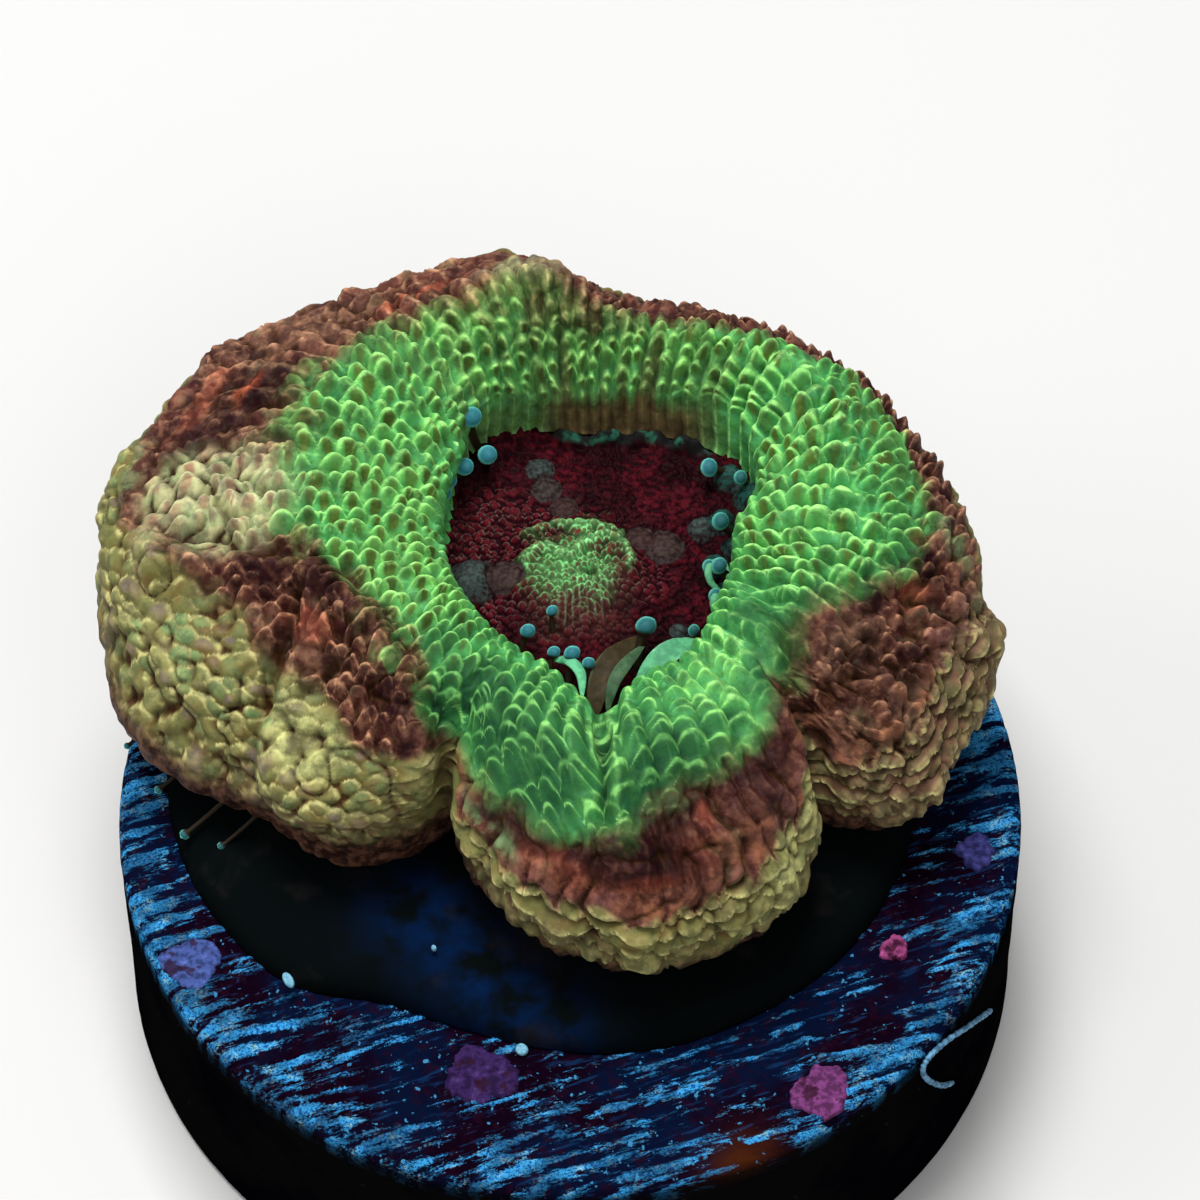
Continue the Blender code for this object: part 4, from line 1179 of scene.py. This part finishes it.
class CORAL_OT_oral_disc(bpy.types.Operator):
    """Makes the oral disc with its mouth, as one surface from the mouth out under the wall"""

    bl_idname = "coral.oral_disc"
    bl_label = "Oral disc"

    def execute(self, context):
        columns, rows = 640, 150
        points, marks = oral_grid(all_round(columns), np.linspace(0.01, 1.03, rows))
        points = np.concatenate([points.reshape(-1, 3), points[:1].mean(axis=1)])
        marks = {
            mark: np.append(np.broadcast_to(values, (rows, columns)).reshape(-1), np.mean(values[0]))
            for mark, values in marks.items()
        }
        faces = [ring_faces(rows, columns), fan_faces(0, columns, rows * columns)]
        look = oral_look(context.scene.coral_colours)
        put_mesh("coral_oral_disc", points, faces, look, marks, replaces=("coral",))
        return {"FINISHED"}


# ---------------------------------------------------------------- tentacles

# Tentacles: foot and tip in mm (height over the disc's top), radius of the ball as a share, and 1 for blue tips.
TENTACLES = (
    ((-3.2, 12.3, 4.6), (-3.36, 11.84, 7.0), 1.0, 0.9), ((-2.9, 11.9, 4.4), (-2.8, 10.99, 5.9), 0.92, 1.0),
    ((-3.9, 11.2, 4.4), (-3.62, 10.46, 5.9), 0.85, 0.9), ((-4.6, 10.1, 4.5), (-4.2, 9.75, 6.0), 0.8, 0.8),
    ((-4.8, 9.4, 4.5), (-4.36, 9.2, 6.0), 0.75, 0.7),
    ((5.9, 8.4, 4.5), (5.45, 8.1, 5.7), 0.85, 0.2), ((5.8, 6.9, 4.5), (5.0, 6.4, 5.3), 0.7, 0.3),
    ((5.9, 6.0, 4.5), (5.35, 6.05, 5.8), 0.8, 0.3), ((5.8, 5.2, 4.5), (5.2, 5.2, 5.2), 0.7, 0.3),
    ((5.2, 3.2, 4.5), (4.4, 3.6, 5.3), 0.6, 0.1), ((6.2, 11.2, 4.4), (5.1, 10.75, 5.4), 0.9, 0.6),
    ((6.9, 10.4, 4.4), (6.2, 10.2, 5.5), 0.7, 0.2), ((-0.5, 4.0, 4.4), (-0.55, 4.5, 5.3), 0.55, 0.8),
    ((-1.7, 2.9, 4.4), (-1.4, 3.4, 5.6), 0.7, 0.8), ((0.0, 1.7, 4.4), (0.15, 2.5, 5.5), 0.75, 0.9),
    ((-0.7, 2.0, 4.4), (-0.5, 2.7, 5.3), 0.6, 0.9), ((2.4, 2.6, 4.4), (2.75, 3.5, 5.7), 0.95, 0.35),
    ((0.5, 1.2, 4.4), (0.7, 2.0, 5.6), 0.6, 0.7),
)
FEELERS = (
    ((-12.6, 0.9, 2.4), (-14.45, -0.45, 1.6), 0.42, 0.4), ((-11.6, -0.8, 2.2), (-13.5, -2.0, 1.1), 0.5, 0.35),
    ((-10.6, -1.6, 2.2), (-12.2, -2.5, 1.1), 0.42, 0.3), ((-13.9, 2.6, 2.6), (-15.6, 1.3, 1.8), 0.35, 0.4),
)
STALK_SHARE = 0.42  # the stalk's radius as a share of the ball's
UP_FRONT = np.array((0.0, -0.565, 0.825))  # up and to the front: a painted sheen makes the balls darker where they face this way


def tentacle_points(table, ball, rings=22, sides=14):
    """Points and marks of stalks that end in balls, in mm.

    Rings stand along the line from foot to tip, which bows to one side by half a sine. Their radius is the stalk's
    until they meet the ball, and then the half-circle's, the root of R^2 - (h - R)^2, where h is the way from the
    far end. face is how squarely a point of the ball looks up and to the front.
    """
    foot, tip, big, blue = (np.array(values, float) for values in zip(*table))
    foot[:, 2] += DISC_TOP
    tip[:, 2] += DISC_TOP
    big = ball * big[:, None]
    reach = np.linalg.norm(tip - foot, axis=-1)[:, None] + big
    along = np.linspace(0, 1, rings)[None, :] ** 0.75 * reach
    head = reach - along
    globe = np.sqrt(np.clip(big**2 - (head - big) ** 2, 0, None))
    stalk = STALK_SHARE * big
    radius = np.where(head < 2 * big, np.maximum(globe, stalk * step(0.9, 1.3, head / big)), stalk)
    axis = unit(tip - foot)[:, None, :]
    side = unit(np.cross(axis, (0.0, 1.0, 0.3)))
    other = np.cross(side, axis)
    spine = foot[:, None, :] + axis * along[..., None]
    spine = spine + side * (0.35 * big * np.sin(math.pi * (along / reach)))[..., None]
    turn = np.linspace(0, 2 * math.pi, sides, endpoint=False)[None, None, :, None]
    around = side[:, :, None, :] * np.cos(turn) + other[:, :, None, :] * np.sin(turn)
    points = spine[:, :, None, :] + radius[:, :, None, None] * around
    marks = {
        "ball": np.broadcast_to(step(0.0, 1.0, 1 - head / (2.4 * big))[..., None], points.shape[:-1]),
        "face": unit(points - tip[:, None, None, :]) @ UP_FRONT,
        "blue": np.broadcast_to(blue[:, None, None], points.shape[:-1]),
    }
    return points, marks


def tentacle_look(colours):
    """Brown stalks and milky teal balls, with a painted sheen on the balls and a faint painted glow."""
    look = Look(
        "coral_tentacles", colours.teal, roughness=0.5, subsurface_weight=0.2, subsurface_radius=(0.4, 0.9, 1.0),
        subsurface_scale=0.3 * MM, specular_ior_level=0.12, emission_strength=0.1,
    )
    ball, blue, face = look.marks("ball", "blue", "face")
    speckle = look.noise(6.0)
    # The face coat is a painted sheen: each ball is darker where it faces up and to the front and paler round its
    # rim.
    tip = look.coats(
        look.mix((0.09, 0.38, 0.28), (0.13, 0.50, 0.47), blue),
        (look.mix((0.014, 0.08, 0.07), (0.025, 0.15, 0.19), blue), face.step(0.2, 0.75)),
        ((0.02, 0.10, 0.14), speckle.step(0.45, 0.65) * 0.3),
    )
    skin = look.mix((0.018, 0.012, 0.006), tip, ball.step(0.25, 0.6))
    # The emission is a painted glow over the whole tentacle.
    return look.feed(base_color=skin, emission_color=skin, normal=look.bump(speckle, 0.4, 0.02))


class CORAL_OT_tentacles(bpy.types.Operator):
    """Makes the tentacles round the oral disc and the feelers under the left lobe"""

    bl_idname = "coral.tentacles"
    bl_label = "Tentacles"

    def execute(self, context):
        look = tentacle_look(context.scene.coral_colours)
        ball = context.scene.coral_sizes.tentacle_radius / MM
        for name, table in (("coral_tentacles", TENTACLES), ("coral_feelers", FEELERS)):
            points, marks = tentacle_points(table, ball)
            put_tubes(name, points, look, marks, replaces=("coral",))
        return {"FINISHED"}


# Flaps and curls: the route in mm (height over the disc's top), half width, half thickness, and 0 for brown to 1
# for teal.
FLAPS = (
    (((0.85, 0.2, 4.7), (1.0, 1.2, 5.2), (1.5, 2.4, 5.3), (2.55, 3.7, 4.9)), 0.42, 0.12, 0.0),
    (((1.3, 0.4, 4.9), (1.55, 1.2, 5.5), (2.0, 2.05, 5.5), (2.65, 3.15, 5.1)), 0.24, 0.1, 0.15),
    (((2.3, 1.3, 5.2), (3.0, 1.95, 5.6), (3.7, 2.5, 5.7), (4.5, 3.1, 5.3)), 0.42, 0.12, 0.6),
    (((-0.6, 2.6, 5.0), (0.0, 2.25, 5.35), (0.4, 1.6, 5.5), (0.45, 0.6, 5.4)), 0.2, 0.14, 0.7),
    (((5.6, 5.4, 4.8), (5.0, 5.7, 5.3), (5.0, 6.3, 5.4), (5.4, 6.6, 5.3), (5.7, 6.2, 5.2)), 0.15, 0.15, 0.5),
    (((5.6, 5.4, 4.8), (5.2, 5.1, 5.3), (5.1, 4.7, 5.2), (5.4, 4.3, 5.0)), 0.14, 0.14, 0.5),
)


def flap_points(rings=48, sides=28):
    """Points and marks of fleshy blades, in mm: a flat ellipse carried along each route, its radii times the sine
    of the way along, from 0 to pi, to the power 0.6. The blade is cupped by the square of the ellipse's cosine."""
    share = np.linspace(0.004, 0.996, rings)
    spine = np.array([through(np.array(route), share * (len(route) - 1)) for route, _, _, _ in FLAPS])
    spine[..., 2] += DISC_TOP
    wide, thick, teal = (np.array([flap[k] for flap in FLAPS])[:, None, None, None] for k in (1, 2, 3))
    tangent = unit(np.gradient(spine, axis=1))
    side = unit(np.cross(tangent, (0.0, -0.3, 1.0)))
    over = np.cross(side, tangent)[:, :, None]
    side = side[:, :, None]
    swell = (np.sin(math.pi * share) ** 0.6)[None, :, None, None]
    turn = np.linspace(0, 2 * math.pi, sides, endpoint=False)[None, None, :, None]
    points = spine[:, :, None] + swell * (wide * np.cos(turn) * side + thick * np.sin(turn) * over)
    points = points + over * (0.25 * swell * wide * np.cos(turn) ** 2 + 0.09 * rough(points, 0.6, 501)[..., None])
    marks = {"edge": np.abs(np.cos(turn)) * swell + 0 * wide, "teal": teal + 0 * swell * turn}
    return points, {name: values[..., 0] for name, values in marks.items()}


def flap_look(colours):
    """Brown-olive or teal flesh, brighter along its edges."""
    look = Look(
        "coral_flaps", colours.teal, roughness=0.55, subsurface_weight=0.1, subsurface_scale=0.2 * MM,
        specular_ior_level=0.12,
    )
    speckle = look.noise(3.0)
    teal, edge = look.marks("teal", "edge")
    skin = look.coats(
        look.mix((0.045, 0.03, 0.012), (0.16, 0.68, 0.34), teal),
        (look.mix((0.07, 0.13, 0.045), (0.38, 0.90, 0.58), teal), edge.step(0.7, 1.0) * 0.8),
        (look.mix((0.018, 0.014, 0.006), (0.05, 0.28, 0.15), teal), speckle.step(0.38, 0.62) * 0.6),
    )
    return look.feed(base_color=skin, normal=look.bump(speckle, 0.6, 0.06))


class CORAL_OT_flaps(bpy.types.Operator):
    """Makes the flaps and curled tentacles at the edge of the oral disc"""

    bl_idname = "coral.flaps"
    bl_label = "Flaps"

    def execute(self, context):
        points, marks = flap_points()
        look = flap_look(context.scene.coral_colours)
        put_tubes("coral_flaps", points, look, marks, replaces=("coral",))
        return {"FINISHED"}


# ---------------------------------------------------------------- the disc, the pad and what grows on them

STREAK_SLOPE = math.radians(19)
RIM_ROUND = 0.55  # radius of the rim's rounding, in mm
RUST_PLACE = (6.0, -15.2)  # of the rusty spot on the plan, in mm


def disc_points(columns, sizes):
    """Points and marks of the disc: one closed profile turned round its axis, in mm, with a quarter-circle rim.

    Streaks on the top are noise stretched along the saw's way plus a cosine across it, and a smooth step of them
    gives their height. Chips on the rim and dents in the side are noise along the way outwards.
    """
    inner = np.linspace(0.2, 7.5, 10)[:-1]
    outer = np.linspace(7.5, DISC_RADIUS - RIM_ROUND, 64)
    bend = np.linspace(0, math.pi / 2, 9)[1:]
    side_z = np.linspace(DISC_TOP - RIM_ROUND, 0.3, 13)[1:]
    radius = np.concatenate([
        inner, outer, DISC_RADIUS - RIM_ROUND + RIM_ROUND * np.sin(bend), np.full(len(side_z), DISC_RADIUS),
        [DISC_RADIUS - 0.3, 0.2],
    ])
    height = np.concatenate([
        np.full(len(inner) + len(outer), DISC_TOP), DISC_TOP - RIM_ROUND + RIM_ROUND * np.cos(bend), side_z,
        [0.0, 0.0],
    ])[:, None]
    plan = radius[:, None, None] * compass(np.radians(all_round(columns)))
    points = at_height(plan, height)
    x, y = np.moveaxis(plan, -1, 0)
    reach = np.hypot(x, y)
    top = step(DISC_TOP - 0.7, DISC_TOP - 0.2, height)
    run = x * math.cos(STREAK_SLOPE) + y * math.sin(STREAK_SLOPE)
    over = -x * math.sin(STREAK_SLOPE) + y * math.cos(STREAK_SLOPE)
    streak_pitch, streak_height = in_mm(sizes, "streak_pitch", "streak_height")
    stretched = np.stack([run / 4.5, over + 0.25 * noise(points, 2.0, 70), 0 * run], axis=-1)
    wave = np.cos(2 * math.pi * (over + 0.5 * noise(stretched, 1.0, 71)) / streak_pitch)
    rim = step(DISC_RADIUS - 2.2, DISC_RADIUS - 0.7, reach + 0.6 * rough(points, 1.2, 76))
    chips = rough(points, 0.5, 78)
    streak = rough(stretched, 0.5 * streak_pitch, 72, 4) + 0.3 * wave + 0.22 * noise(points, 2.4, 75)
    streak += 0.2 * chips + 0.34 * rim
    lift = streak_height * (step(0.1, 0.5, streak) - 0.5) + 0.05 * chips - 0.1 * step(0.1, 0.8, chips) * rim
    points[..., 2] += top * lift * step(0.3, 2.0, reach) * step(DISC_TOP - 0.9, DISC_TOP - 0.3, height)
    dent = 0.06 * rough(points, 1.4, 81, 4) + 0.03 * rough(points, 0.4, 85, 2) - 0.05
    points += unit(points * (1, 1, 0)) * (dent * (1 - top) * step(0.0, 0.8, height))[..., None]
    rust = bell(np.hypot(points[..., 0] - RUST_PLACE[0], points[..., 1] - RUST_PLACE[1]) / 1.3 + 0.3 * chips, 1.0)
    marks = {"streak": streak - rust, "top": top + 0 * streak, "rust": rust, "rim": rim * (1 - rust)}
    return points, marks


def disc_look(colours):
    """Cyan-white worn crests over maroon and navy grooves on top, and a side painted near black as shade, with
    pale specks.
    """
    look = Look("frag_ceramic", colours.groove, roughness=0.9, specular_ior_level=0.0)
    streak, top, rust, rim = look.marks("streak", "top", "rust", "rim")
    drawn = look.node(
        "Mapping", {"vector_type": "TEXTURE"}, Vector=look.place(), Rotation=(0.0, 0.0, STREAK_SLOPE),
        Scale=(6.0, 1.0, 1.0),
    )
    blotch, speckle, grit = look.noise(0.22), look.noise(2.5, detail=5.0), look.noise(9.0, detail=3.0)
    fine = look.noise(8.0, detail=6.0, roughness=0.8, at=drawn)
    grooves = look.coats(
        look.mix(colours.groove, colours.navy, blotch.step(0.42, 0.58)),
        ((0.012, 0.002, 0.008), speckle.step(0.5, 0.7) * 0.7),
        ((0.005, 0.03, 0.10), look.noise(4.5, detail=5.0, at=drawn).step(0.56, 0.68) * 0.5),
        ((0.05, 0.012, 0.003), rust),
    )
    crest = look.coats(
        look.mix((0.008, 0.07, 0.24), colours.streak, grit.step(0.36, 0.6)),
        ((0.26, 0.52, 0.56), speckle.step(0.5, 0.66) * grit.step(0.4, 0.6) * (0.5 + 0.5 * rim)),
    )
    worn = (streak + fine * 3.4 + rim * 0.12).step(2.02, 2.36)
    worn = worn * (0.35 + 0.65 * look.noise(0.7, detail=3.0).step(0.42, 0.6)) * (1 - grit.step(0.52, 0.66) * 0.8)
    face = look.coats(
        grooves, (crest, worn), ((0.04, 0.20, 0.38), look.noise(3.6, roughness=0.5).step(0.66, 0.7) * 0.9)
    )
    # The side is painted near black as shade, with faint blotches and pale specks.
    side = look.coats(
        colours.side,
        ((0.0010, 0.0010, 0.002), blotch.step(0.4, 0.6)),
        ((0.03, 0.045, 0.06), look.noise(1.6, detail=6.0, roughness=0.7).step(0.66, 0.76) * 0.8),
    )
    return look.feed(base_color=look.mix(side, face, top), normal=look.bump(speckle * 0.6 + grit * 0.4, 0.6, 0.07))


class CORAL_OT_frag_disc(bpy.types.Operator):
    """Makes the ceramic disc with its saw streaks and worn rim"""

    bl_idname = "coral.frag_disc"
    bl_label = "Frag disc"

    def execute(self, context):
        points, marks = disc_points(720, context.scene.coral_sizes)
        look = disc_look(context.scene.coral_colours)
        marks = {mark: values[None] for mark, values in marks.items()}
        put_tubes("disc", points[None], look, marks, replaces=("frag_disc",))
        return {"FINISHED"}


# The pad's outline, as (degrees round the disc's axis, mm).
PAD = (
    (0, 12.3), (30, 13.2), (60, 14.6), (90, 15.0), (120, 15.2), (150, 14.9), (180, 14.2), (203, 13.2), (218, 12.3),
    (231, 10.7), (246, 10.2), (264, 10.3), (283, 10.7), (300, 10.9), (330, 11.6),
)


def mound_points(outline, centre, base, thickness, edge, rows, lumps, seed):
    """A low mound, in mm: half its rings rise in a quarter of an ellipse as wide as the edge, the rest run in to
    the centre, and noise times lumps makes the height uneven."""
    bend = np.linspace(0, math.pi / 2, rows // 2)
    inward = np.linspace(edge, outline.min() - 0.05, rows - rows // 2 + 1)[1:]
    inset = np.concatenate([edge * (1 - np.cos(bend)), inward])
    height = np.concatenate([thickness * np.sin(bend), np.full(rows - rows // 2, thickness)])
    radius = outline[None, :] - inset[:, None] * outline[None, :] / outline.min()
    radius = np.maximum(radius, 0.02)
    turn = np.radians(all_round(len(outline)))
    points = at_height(np.array(centre) + radius[..., None] * compass(turn), base)
    points[..., 2] += height[:, None] * (1 + lumps * rough(points, 3 * edge, seed))
    return points


def put_mound(name, points, look, replaces, marks=None):
    """Puts a mound in as a tube whose last ring is its foot, so that both ends close."""
    marks = {mark: values[None, ::-1] for mark, values in (marks or {}).items()}
    put_tubes(name, points[None, ::-1], look, marks, replaces=replaces)


def glue_look(colours):
    """Smooth near-black glue, with a painted pool of blue light on it."""
    look = Look("reef_glue", colours.glue, roughness=0.7, specular_ior_level=0.0)
    speckle = look.noise(3.0)
    haze = look.marks("haze")[0] * look.noise(0.6).step(0.35, 0.6)
    # The blue coat is a painted pool of light on the pad.
    skin = look.coats(
        colours.glue,
        ((0.0012, 0.011, 0.05), haze * (0.5 + 0.5 * speckle)),
        ((0.012, 0.010, 0.010), look.noise(0.4, detail=5.0).step(0.55, 0.7) * 0.5),
    )
    return look.feed(base_color=skin, normal=look.bump(speckle, 0.25, 0.05))


# Pale specks by the pad: place on the plan and height in mm, radius, how much longer than wide.
SPECKS = (((-9.75, -7.84, 0.7), 0.17, 1.0), ((-1.72, -10.35, 0.1), 0.22, 0.1), ((-4.73, -7.03, 1.38), 0.09, 0.2))
SPECK_TURN = 1.1  # of their long way, in radians
LIGHT_POOL_ROUTE = ((-5.3, -5.2), (-3.3, -7.7), (-1.0, -10.3))  # of the painted pool of blue light on the pad, on the plan in mm
SUNK = 0.05  # how far the pad reaches into the disc, in mm


def speck_look():
    """Pale chips, mottled."""
    look = Look("pad_specks", (0.16, 0.36, 0.48), roughness=0.7, specular_ior_level=0.05)
    speckle = look.noise(8.0)
    skin = look.mix((0.11, 0.28, 0.38), (0.19, 0.41, 0.54), speckle.step(0.35, 0.65))
    return look.feed(base_color=skin, normal=look.bump(speckle, 0.4, 0.03))


class CORAL_OT_glue_pad(bpy.types.Operator):
    """Makes the pad of glue under the coral, and the pale specks on it"""

    bl_idname = "coral.glue_pad"
    bl_label = "Glue pad"

    def execute(self, context):
        outline = round_curve(PAD, all_round(360))
        base = DISC_TOP - SUNK
        points = mound_points(outline, (0, 0), base, PAD_TOP - base, 1.2, 28, 0.12, 91)
        # where the painted pool of blue light lies on the pad
        haze = bell(route_gap(points[..., :2], LIGHT_POOL_ROUTE), 1.7)
        look = glue_look(context.scene.coral_colours)
        put_mound("pad", points, look, ("glue_pad",), {"haze": haze})
        pale = speck_look()
        turn = np.radians(all_round(48)) + SPECK_TURN
        for k, ((x, y, z), radius, longer) in enumerate(SPECKS):
            outline = radius * (1 + longer) / np.hypot(np.cos(turn), (1 + longer) * np.sin(turn))
            points = mound_points(outline, (x, y), DISC_TOP + z, 0.12, 0.3 * radius, 12, 0.3, 500 + k)
            put_mound(f"pad_speck_{k}", points, pale, ("glue_pad",))
        return {"FINISHED"}


# Crusts: node, slot, radius in mm, lobes, how far a tail runs out to the front, colour.
CRUSTS = (
    ("coralline_crust_front_right", "crust_pink", 1.0, 7, 0.9, (0.15, 0.036, 0.14)),
    ("coralline_crust_front_left", "crust_purple", 1.15, 3, 0.0, (0.030, 0.012, 0.070)),
    ("coralline_crust_right", "crust_pink", 0.5, 3, 0.0, (0.25, 0.045, 0.15)),
    ("coralline_crust_right_rim", "crust_lavender", 0.7, 2, 0.0, (0.035, 0.035, 0.15)),
    ("coralline_crust_left_rim", "crust_lavender", 1.0, 3, 0.0, (0.05, 0.08, 0.26)),
)


def crust_look(name, rgb):
    """Chalky coralline crust, paler on its lumps."""
    look = Look(name + "_skin", rgb, roughness=0.8, specular_ior_level=0.05)
    speckle = look.noise(3.5)
    skin = look.coats(
        [0.45 * part for part in rgb],
        (rgb, speckle.step(0.38, 0.55)),
        ([1.5 * part + 0.012 for part in rgb], speckle.step(0.58, 0.7)),
        ((0.02, 0.004, 0.01), look.noise(1.4).step(0.56, 0.64) * 0.8),
    )
    return look.feed(base_color=skin, normal=look.bump(speckle, 0.5, 0.05))


CRUST_EDGE = 0.25  # how far inside the disc's side a crust stays, in mm


class CORAL_OT_crusts(bpy.types.Operator):
    """Makes the crusts that grow on the disc's top"""

    bl_idname = "coral.crusts"
    bl_label = "Coralline crusts"

    def execute(self, context):
        turn = np.radians(all_round(160))
        circle = at_height(compass(turn), 0)
        for seed, (node, cad_slot, radius, lobes, tail, rgb) in enumerate(CRUSTS):
            low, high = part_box(node)
            centre = np.array((low + high).xy) / MM / 2
            # the outline is a circle with a cosine's lobes, rough noise and a bell for the tail
            lobed = 0.08 * np.cos(lobes * turn + seed) + 0.34 * rough(circle * 2, 1.0, 200 + seed, 5)
            outline = radius * (1 + lobed) + tail * bell(turn - 5.05, 0.3)
            points = mound_points(outline, centre, DISC_TOP - 0.12, 0.22, 0.14 * radius, 24, 0.7, 300 + 7 * seed)
            reach = np.linalg.norm(points[..., :2], axis=-1, keepdims=True)
            points[..., :2] *= np.minimum(1, (DISC_RADIUS - CRUST_EDGE) / reach)
            put_mound(node + "_growth", points, crust_look(node, rgb), (node,))
        return {"FINISHED"}


# The tube's way over the disc's side, as (degrees round the disc's axis, mm below its top).
TUBE_ROUTE = (
    (337.3, 4.1), (333.4, 3.0), (330.2, 2.2), (324.8, 1.0), (321.4, 0.55), (319.3, 0.55), (318.6, 1.0),
    (320.0, 2.1), (323.2, 3.6), (326.4, 4.6),
)
TUBE_RADIUS = 0.1
CHALK = (0.14, 0.34, 0.52)


def tube_points(rings=150, sides=14):
    """A circle carried along the route, in mm, on a cylinder just outside the disc. A cosine and noise ring its
    radius, which falls away over the last few rings at each end."""
    route = through(np.array(TUBE_ROUTE), np.linspace(0, len(TUBE_ROUTE) - 1, rings))
    outward = at_height(compass(np.radians(route[:, 0])), 0)
    spine = (DISC_RADIUS + 0.08) * outward + np.array((0, 0, 1)) * (DISC_TOP - route[:, 1:])
    tangent = unit(np.gradient(spine, axis=0))
    across = unit(np.cross(outward, tangent))
    outward = np.cross(tangent, across)
    ring = np.arange(rings)
    grow = TUBE_RADIUS * (1 + 0.12 * np.cos(ring * 1.1) + 0.1 * noise(spine, 0.5, 401))
    grow = grow * np.minimum(1, np.minimum(ring, ring[::-1]) / 3 + 0.15)
    angle = np.linspace(0, 2 * math.pi, sides, endpoint=False)[None, :, None]
    around = np.cos(angle) * outward[:, None] + np.sin(angle) * across[:, None]
    return spine[:, None] + grow[:, None, None] * around


def tube_look():
    """Pale blue chalk, mottled."""
    look = Look("worm_tube_chalk", CHALK, roughness=0.7, specular_ior_level=0.2)
    speckle = look.noise(5.0)
    chalk = look.mix((0.03, 0.10, 0.18), CHALK, speckle.step(0.35, 0.65))
    return look.feed(base_color=chalk, normal=look.bump(speckle, 0.4, 0.03))


class CORAL_OT_worm_tube(bpy.types.Operator):
    """Makes the thin chalky tube that curls over the disc's side"""

    bl_idname = "coral.worm_tube"
    bl_label = "Worm tube"

    def execute(self, context):
        put_tubes("tube", tube_points()[None], tube_look(), replaces=("worm_tube",))
        return {"FINISHED"}


# ---------------------------------------------------------------- the stage

VIEW_DOWN = math.radians(55.6)
VIEW_DISTANCE = 200.0
VIEW_SHIFT = (1.111, 7.139)  # right and up of the disc's top centre, in mm across the view
LENS = 169.5
FLOOR_HALF = 0.6
# Soft square lights: name, place and size in metres, power in watts.
LIGHTS = (
    ("top_light", (-0.05, 0.08, 0.42), 0.20, 2.15),
    ("left_light", (-0.36, -0.02, 0.26), 0.25, 0.45),
    ("front_light", (0.10, -0.30, 0.38), 0.30, 0.7),
)
LIT_PLACE = Vector((0, 0, 0.01))


def turned_to(place, target):
    """The turn that points a lamp or a camera from its place at a target."""
    return (target - place).to_track_quat("-Z", "Y").to_euler()


class CORAL_OT_stage(bpy.types.Operator):
    """Sets the floor, the soft lights and the camera"""

    bl_idname = "coral.stage"
    bl_label = "Stage"

    def execute(self, context):
        scene = context.scene
        look = Look("floor", scene.coral_colours.floor, roughness=0.8)
        mesh = bpy.data.meshes.new("floor")
        corners = [(x * FLOOR_HALF, y * FLOOR_HALF, 0) for x, y in ((-1, -1), (1, -1), (1, 1), (-1, 1))]
        mesh.from_pydata(corners, [], [(0, 1, 2, 3)])
        mesh.materials.append(look.material)
        floor = bpy.data.objects.new("floor", mesh)
        scene.collection.objects.link(floor)

        for name, place, size, power in LIGHTS:
            light = bpy.data.lights.new(name, "AREA")
            light.size = size
            light.energy = power
            lamp = bpy.data.objects.new(name, light)
            lamp.location = place
            lamp.rotation_euler = turned_to(Vector(place), LIT_PLACE)
            scene.collection.objects.link(lamp)
        world = bpy.data.worlds.new("room")
        world.use_nodes = True
        sky = world.node_tree.nodes["Background"].inputs
        sky["Color"].default_value = (0.95, 0.98, 1.0, 1.0)
        sky["Strength"].default_value = 0.22
        scene.world = world

        right, up = Vector((1, 0, 0)), Vector((0, math.sin(VIEW_DOWN), math.cos(VIEW_DOWN)))
        centre = Vector((0, 0, DISC_TOP))
        place = centre + VIEW_DISTANCE * Vector((0, -math.cos(VIEW_DOWN), math.sin(VIEW_DOWN)))
        target = centre + VIEW_SHIFT[0] * right + VIEW_SHIFT[1] * up
        camera = bpy.data.cameras.new("camera")
        camera.lens = LENS
        camera.clip_start = 0.01
        viewer = bpy.data.objects.new("camera", camera)
        viewer.location = place * MM
        viewer.rotation_euler = turned_to(place, target)
        scene.collection.objects.link(viewer)
        scene.camera = viewer
        scene.view_settings.view_transform = "Standard"
        return {"FINISHED"}


OPERATORS = (
    CORAL_OT_oral_disc, CORAL_OT_tissue, CORAL_OT_tentacles, CORAL_OT_flaps, CORAL_OT_frag_disc, CORAL_OT_glue_pad,
    CORAL_OT_crusts, CORAL_OT_worm_tube, CORAL_OT_stage,
)


class VIEW3D_PT_coral(bpy.types.Panel):
    """Lists the coral's pieces and their sizes and colours"""

    bl_label = "Coral"
    bl_space_type = "VIEW_3D"
    bl_region_type = "UI"
    bl_category = "Coral"

    def draw(self, context):
        for group in (context.scene.coral_sizes, context.scene.coral_colours):
            for name in group.__annotations__:
                self.layout.prop(group, name)
        for operator in OPERATORS:
            self.layout.operator(operator.bl_idname)


CLASSES = (CoralSizes, CoralColours, *OPERATORS, VIEW3D_PT_coral)


def register():
    for each in CLASSES:
        bpy.utils.register_class(each)
    bpy.types.Scene.coral_sizes = PointerProperty(type=CoralSizes)
    bpy.types.Scene.coral_colours = PointerProperty(type=CoralColours)


def unregister():
    del bpy.types.Scene.coral_colours
    del bpy.types.Scene.coral_sizes
    for each in reversed(CLASSES):
        bpy.utils.unregister_class(each)


def main():
    """Makes every piece and sets the stage."""
    register()
    for operator in OPERATORS:
        group, name = operator.bl_idname.split(".")
        getattr(getattr(bpy.ops, group), name)()


if __name__ == "__main__":
    main()
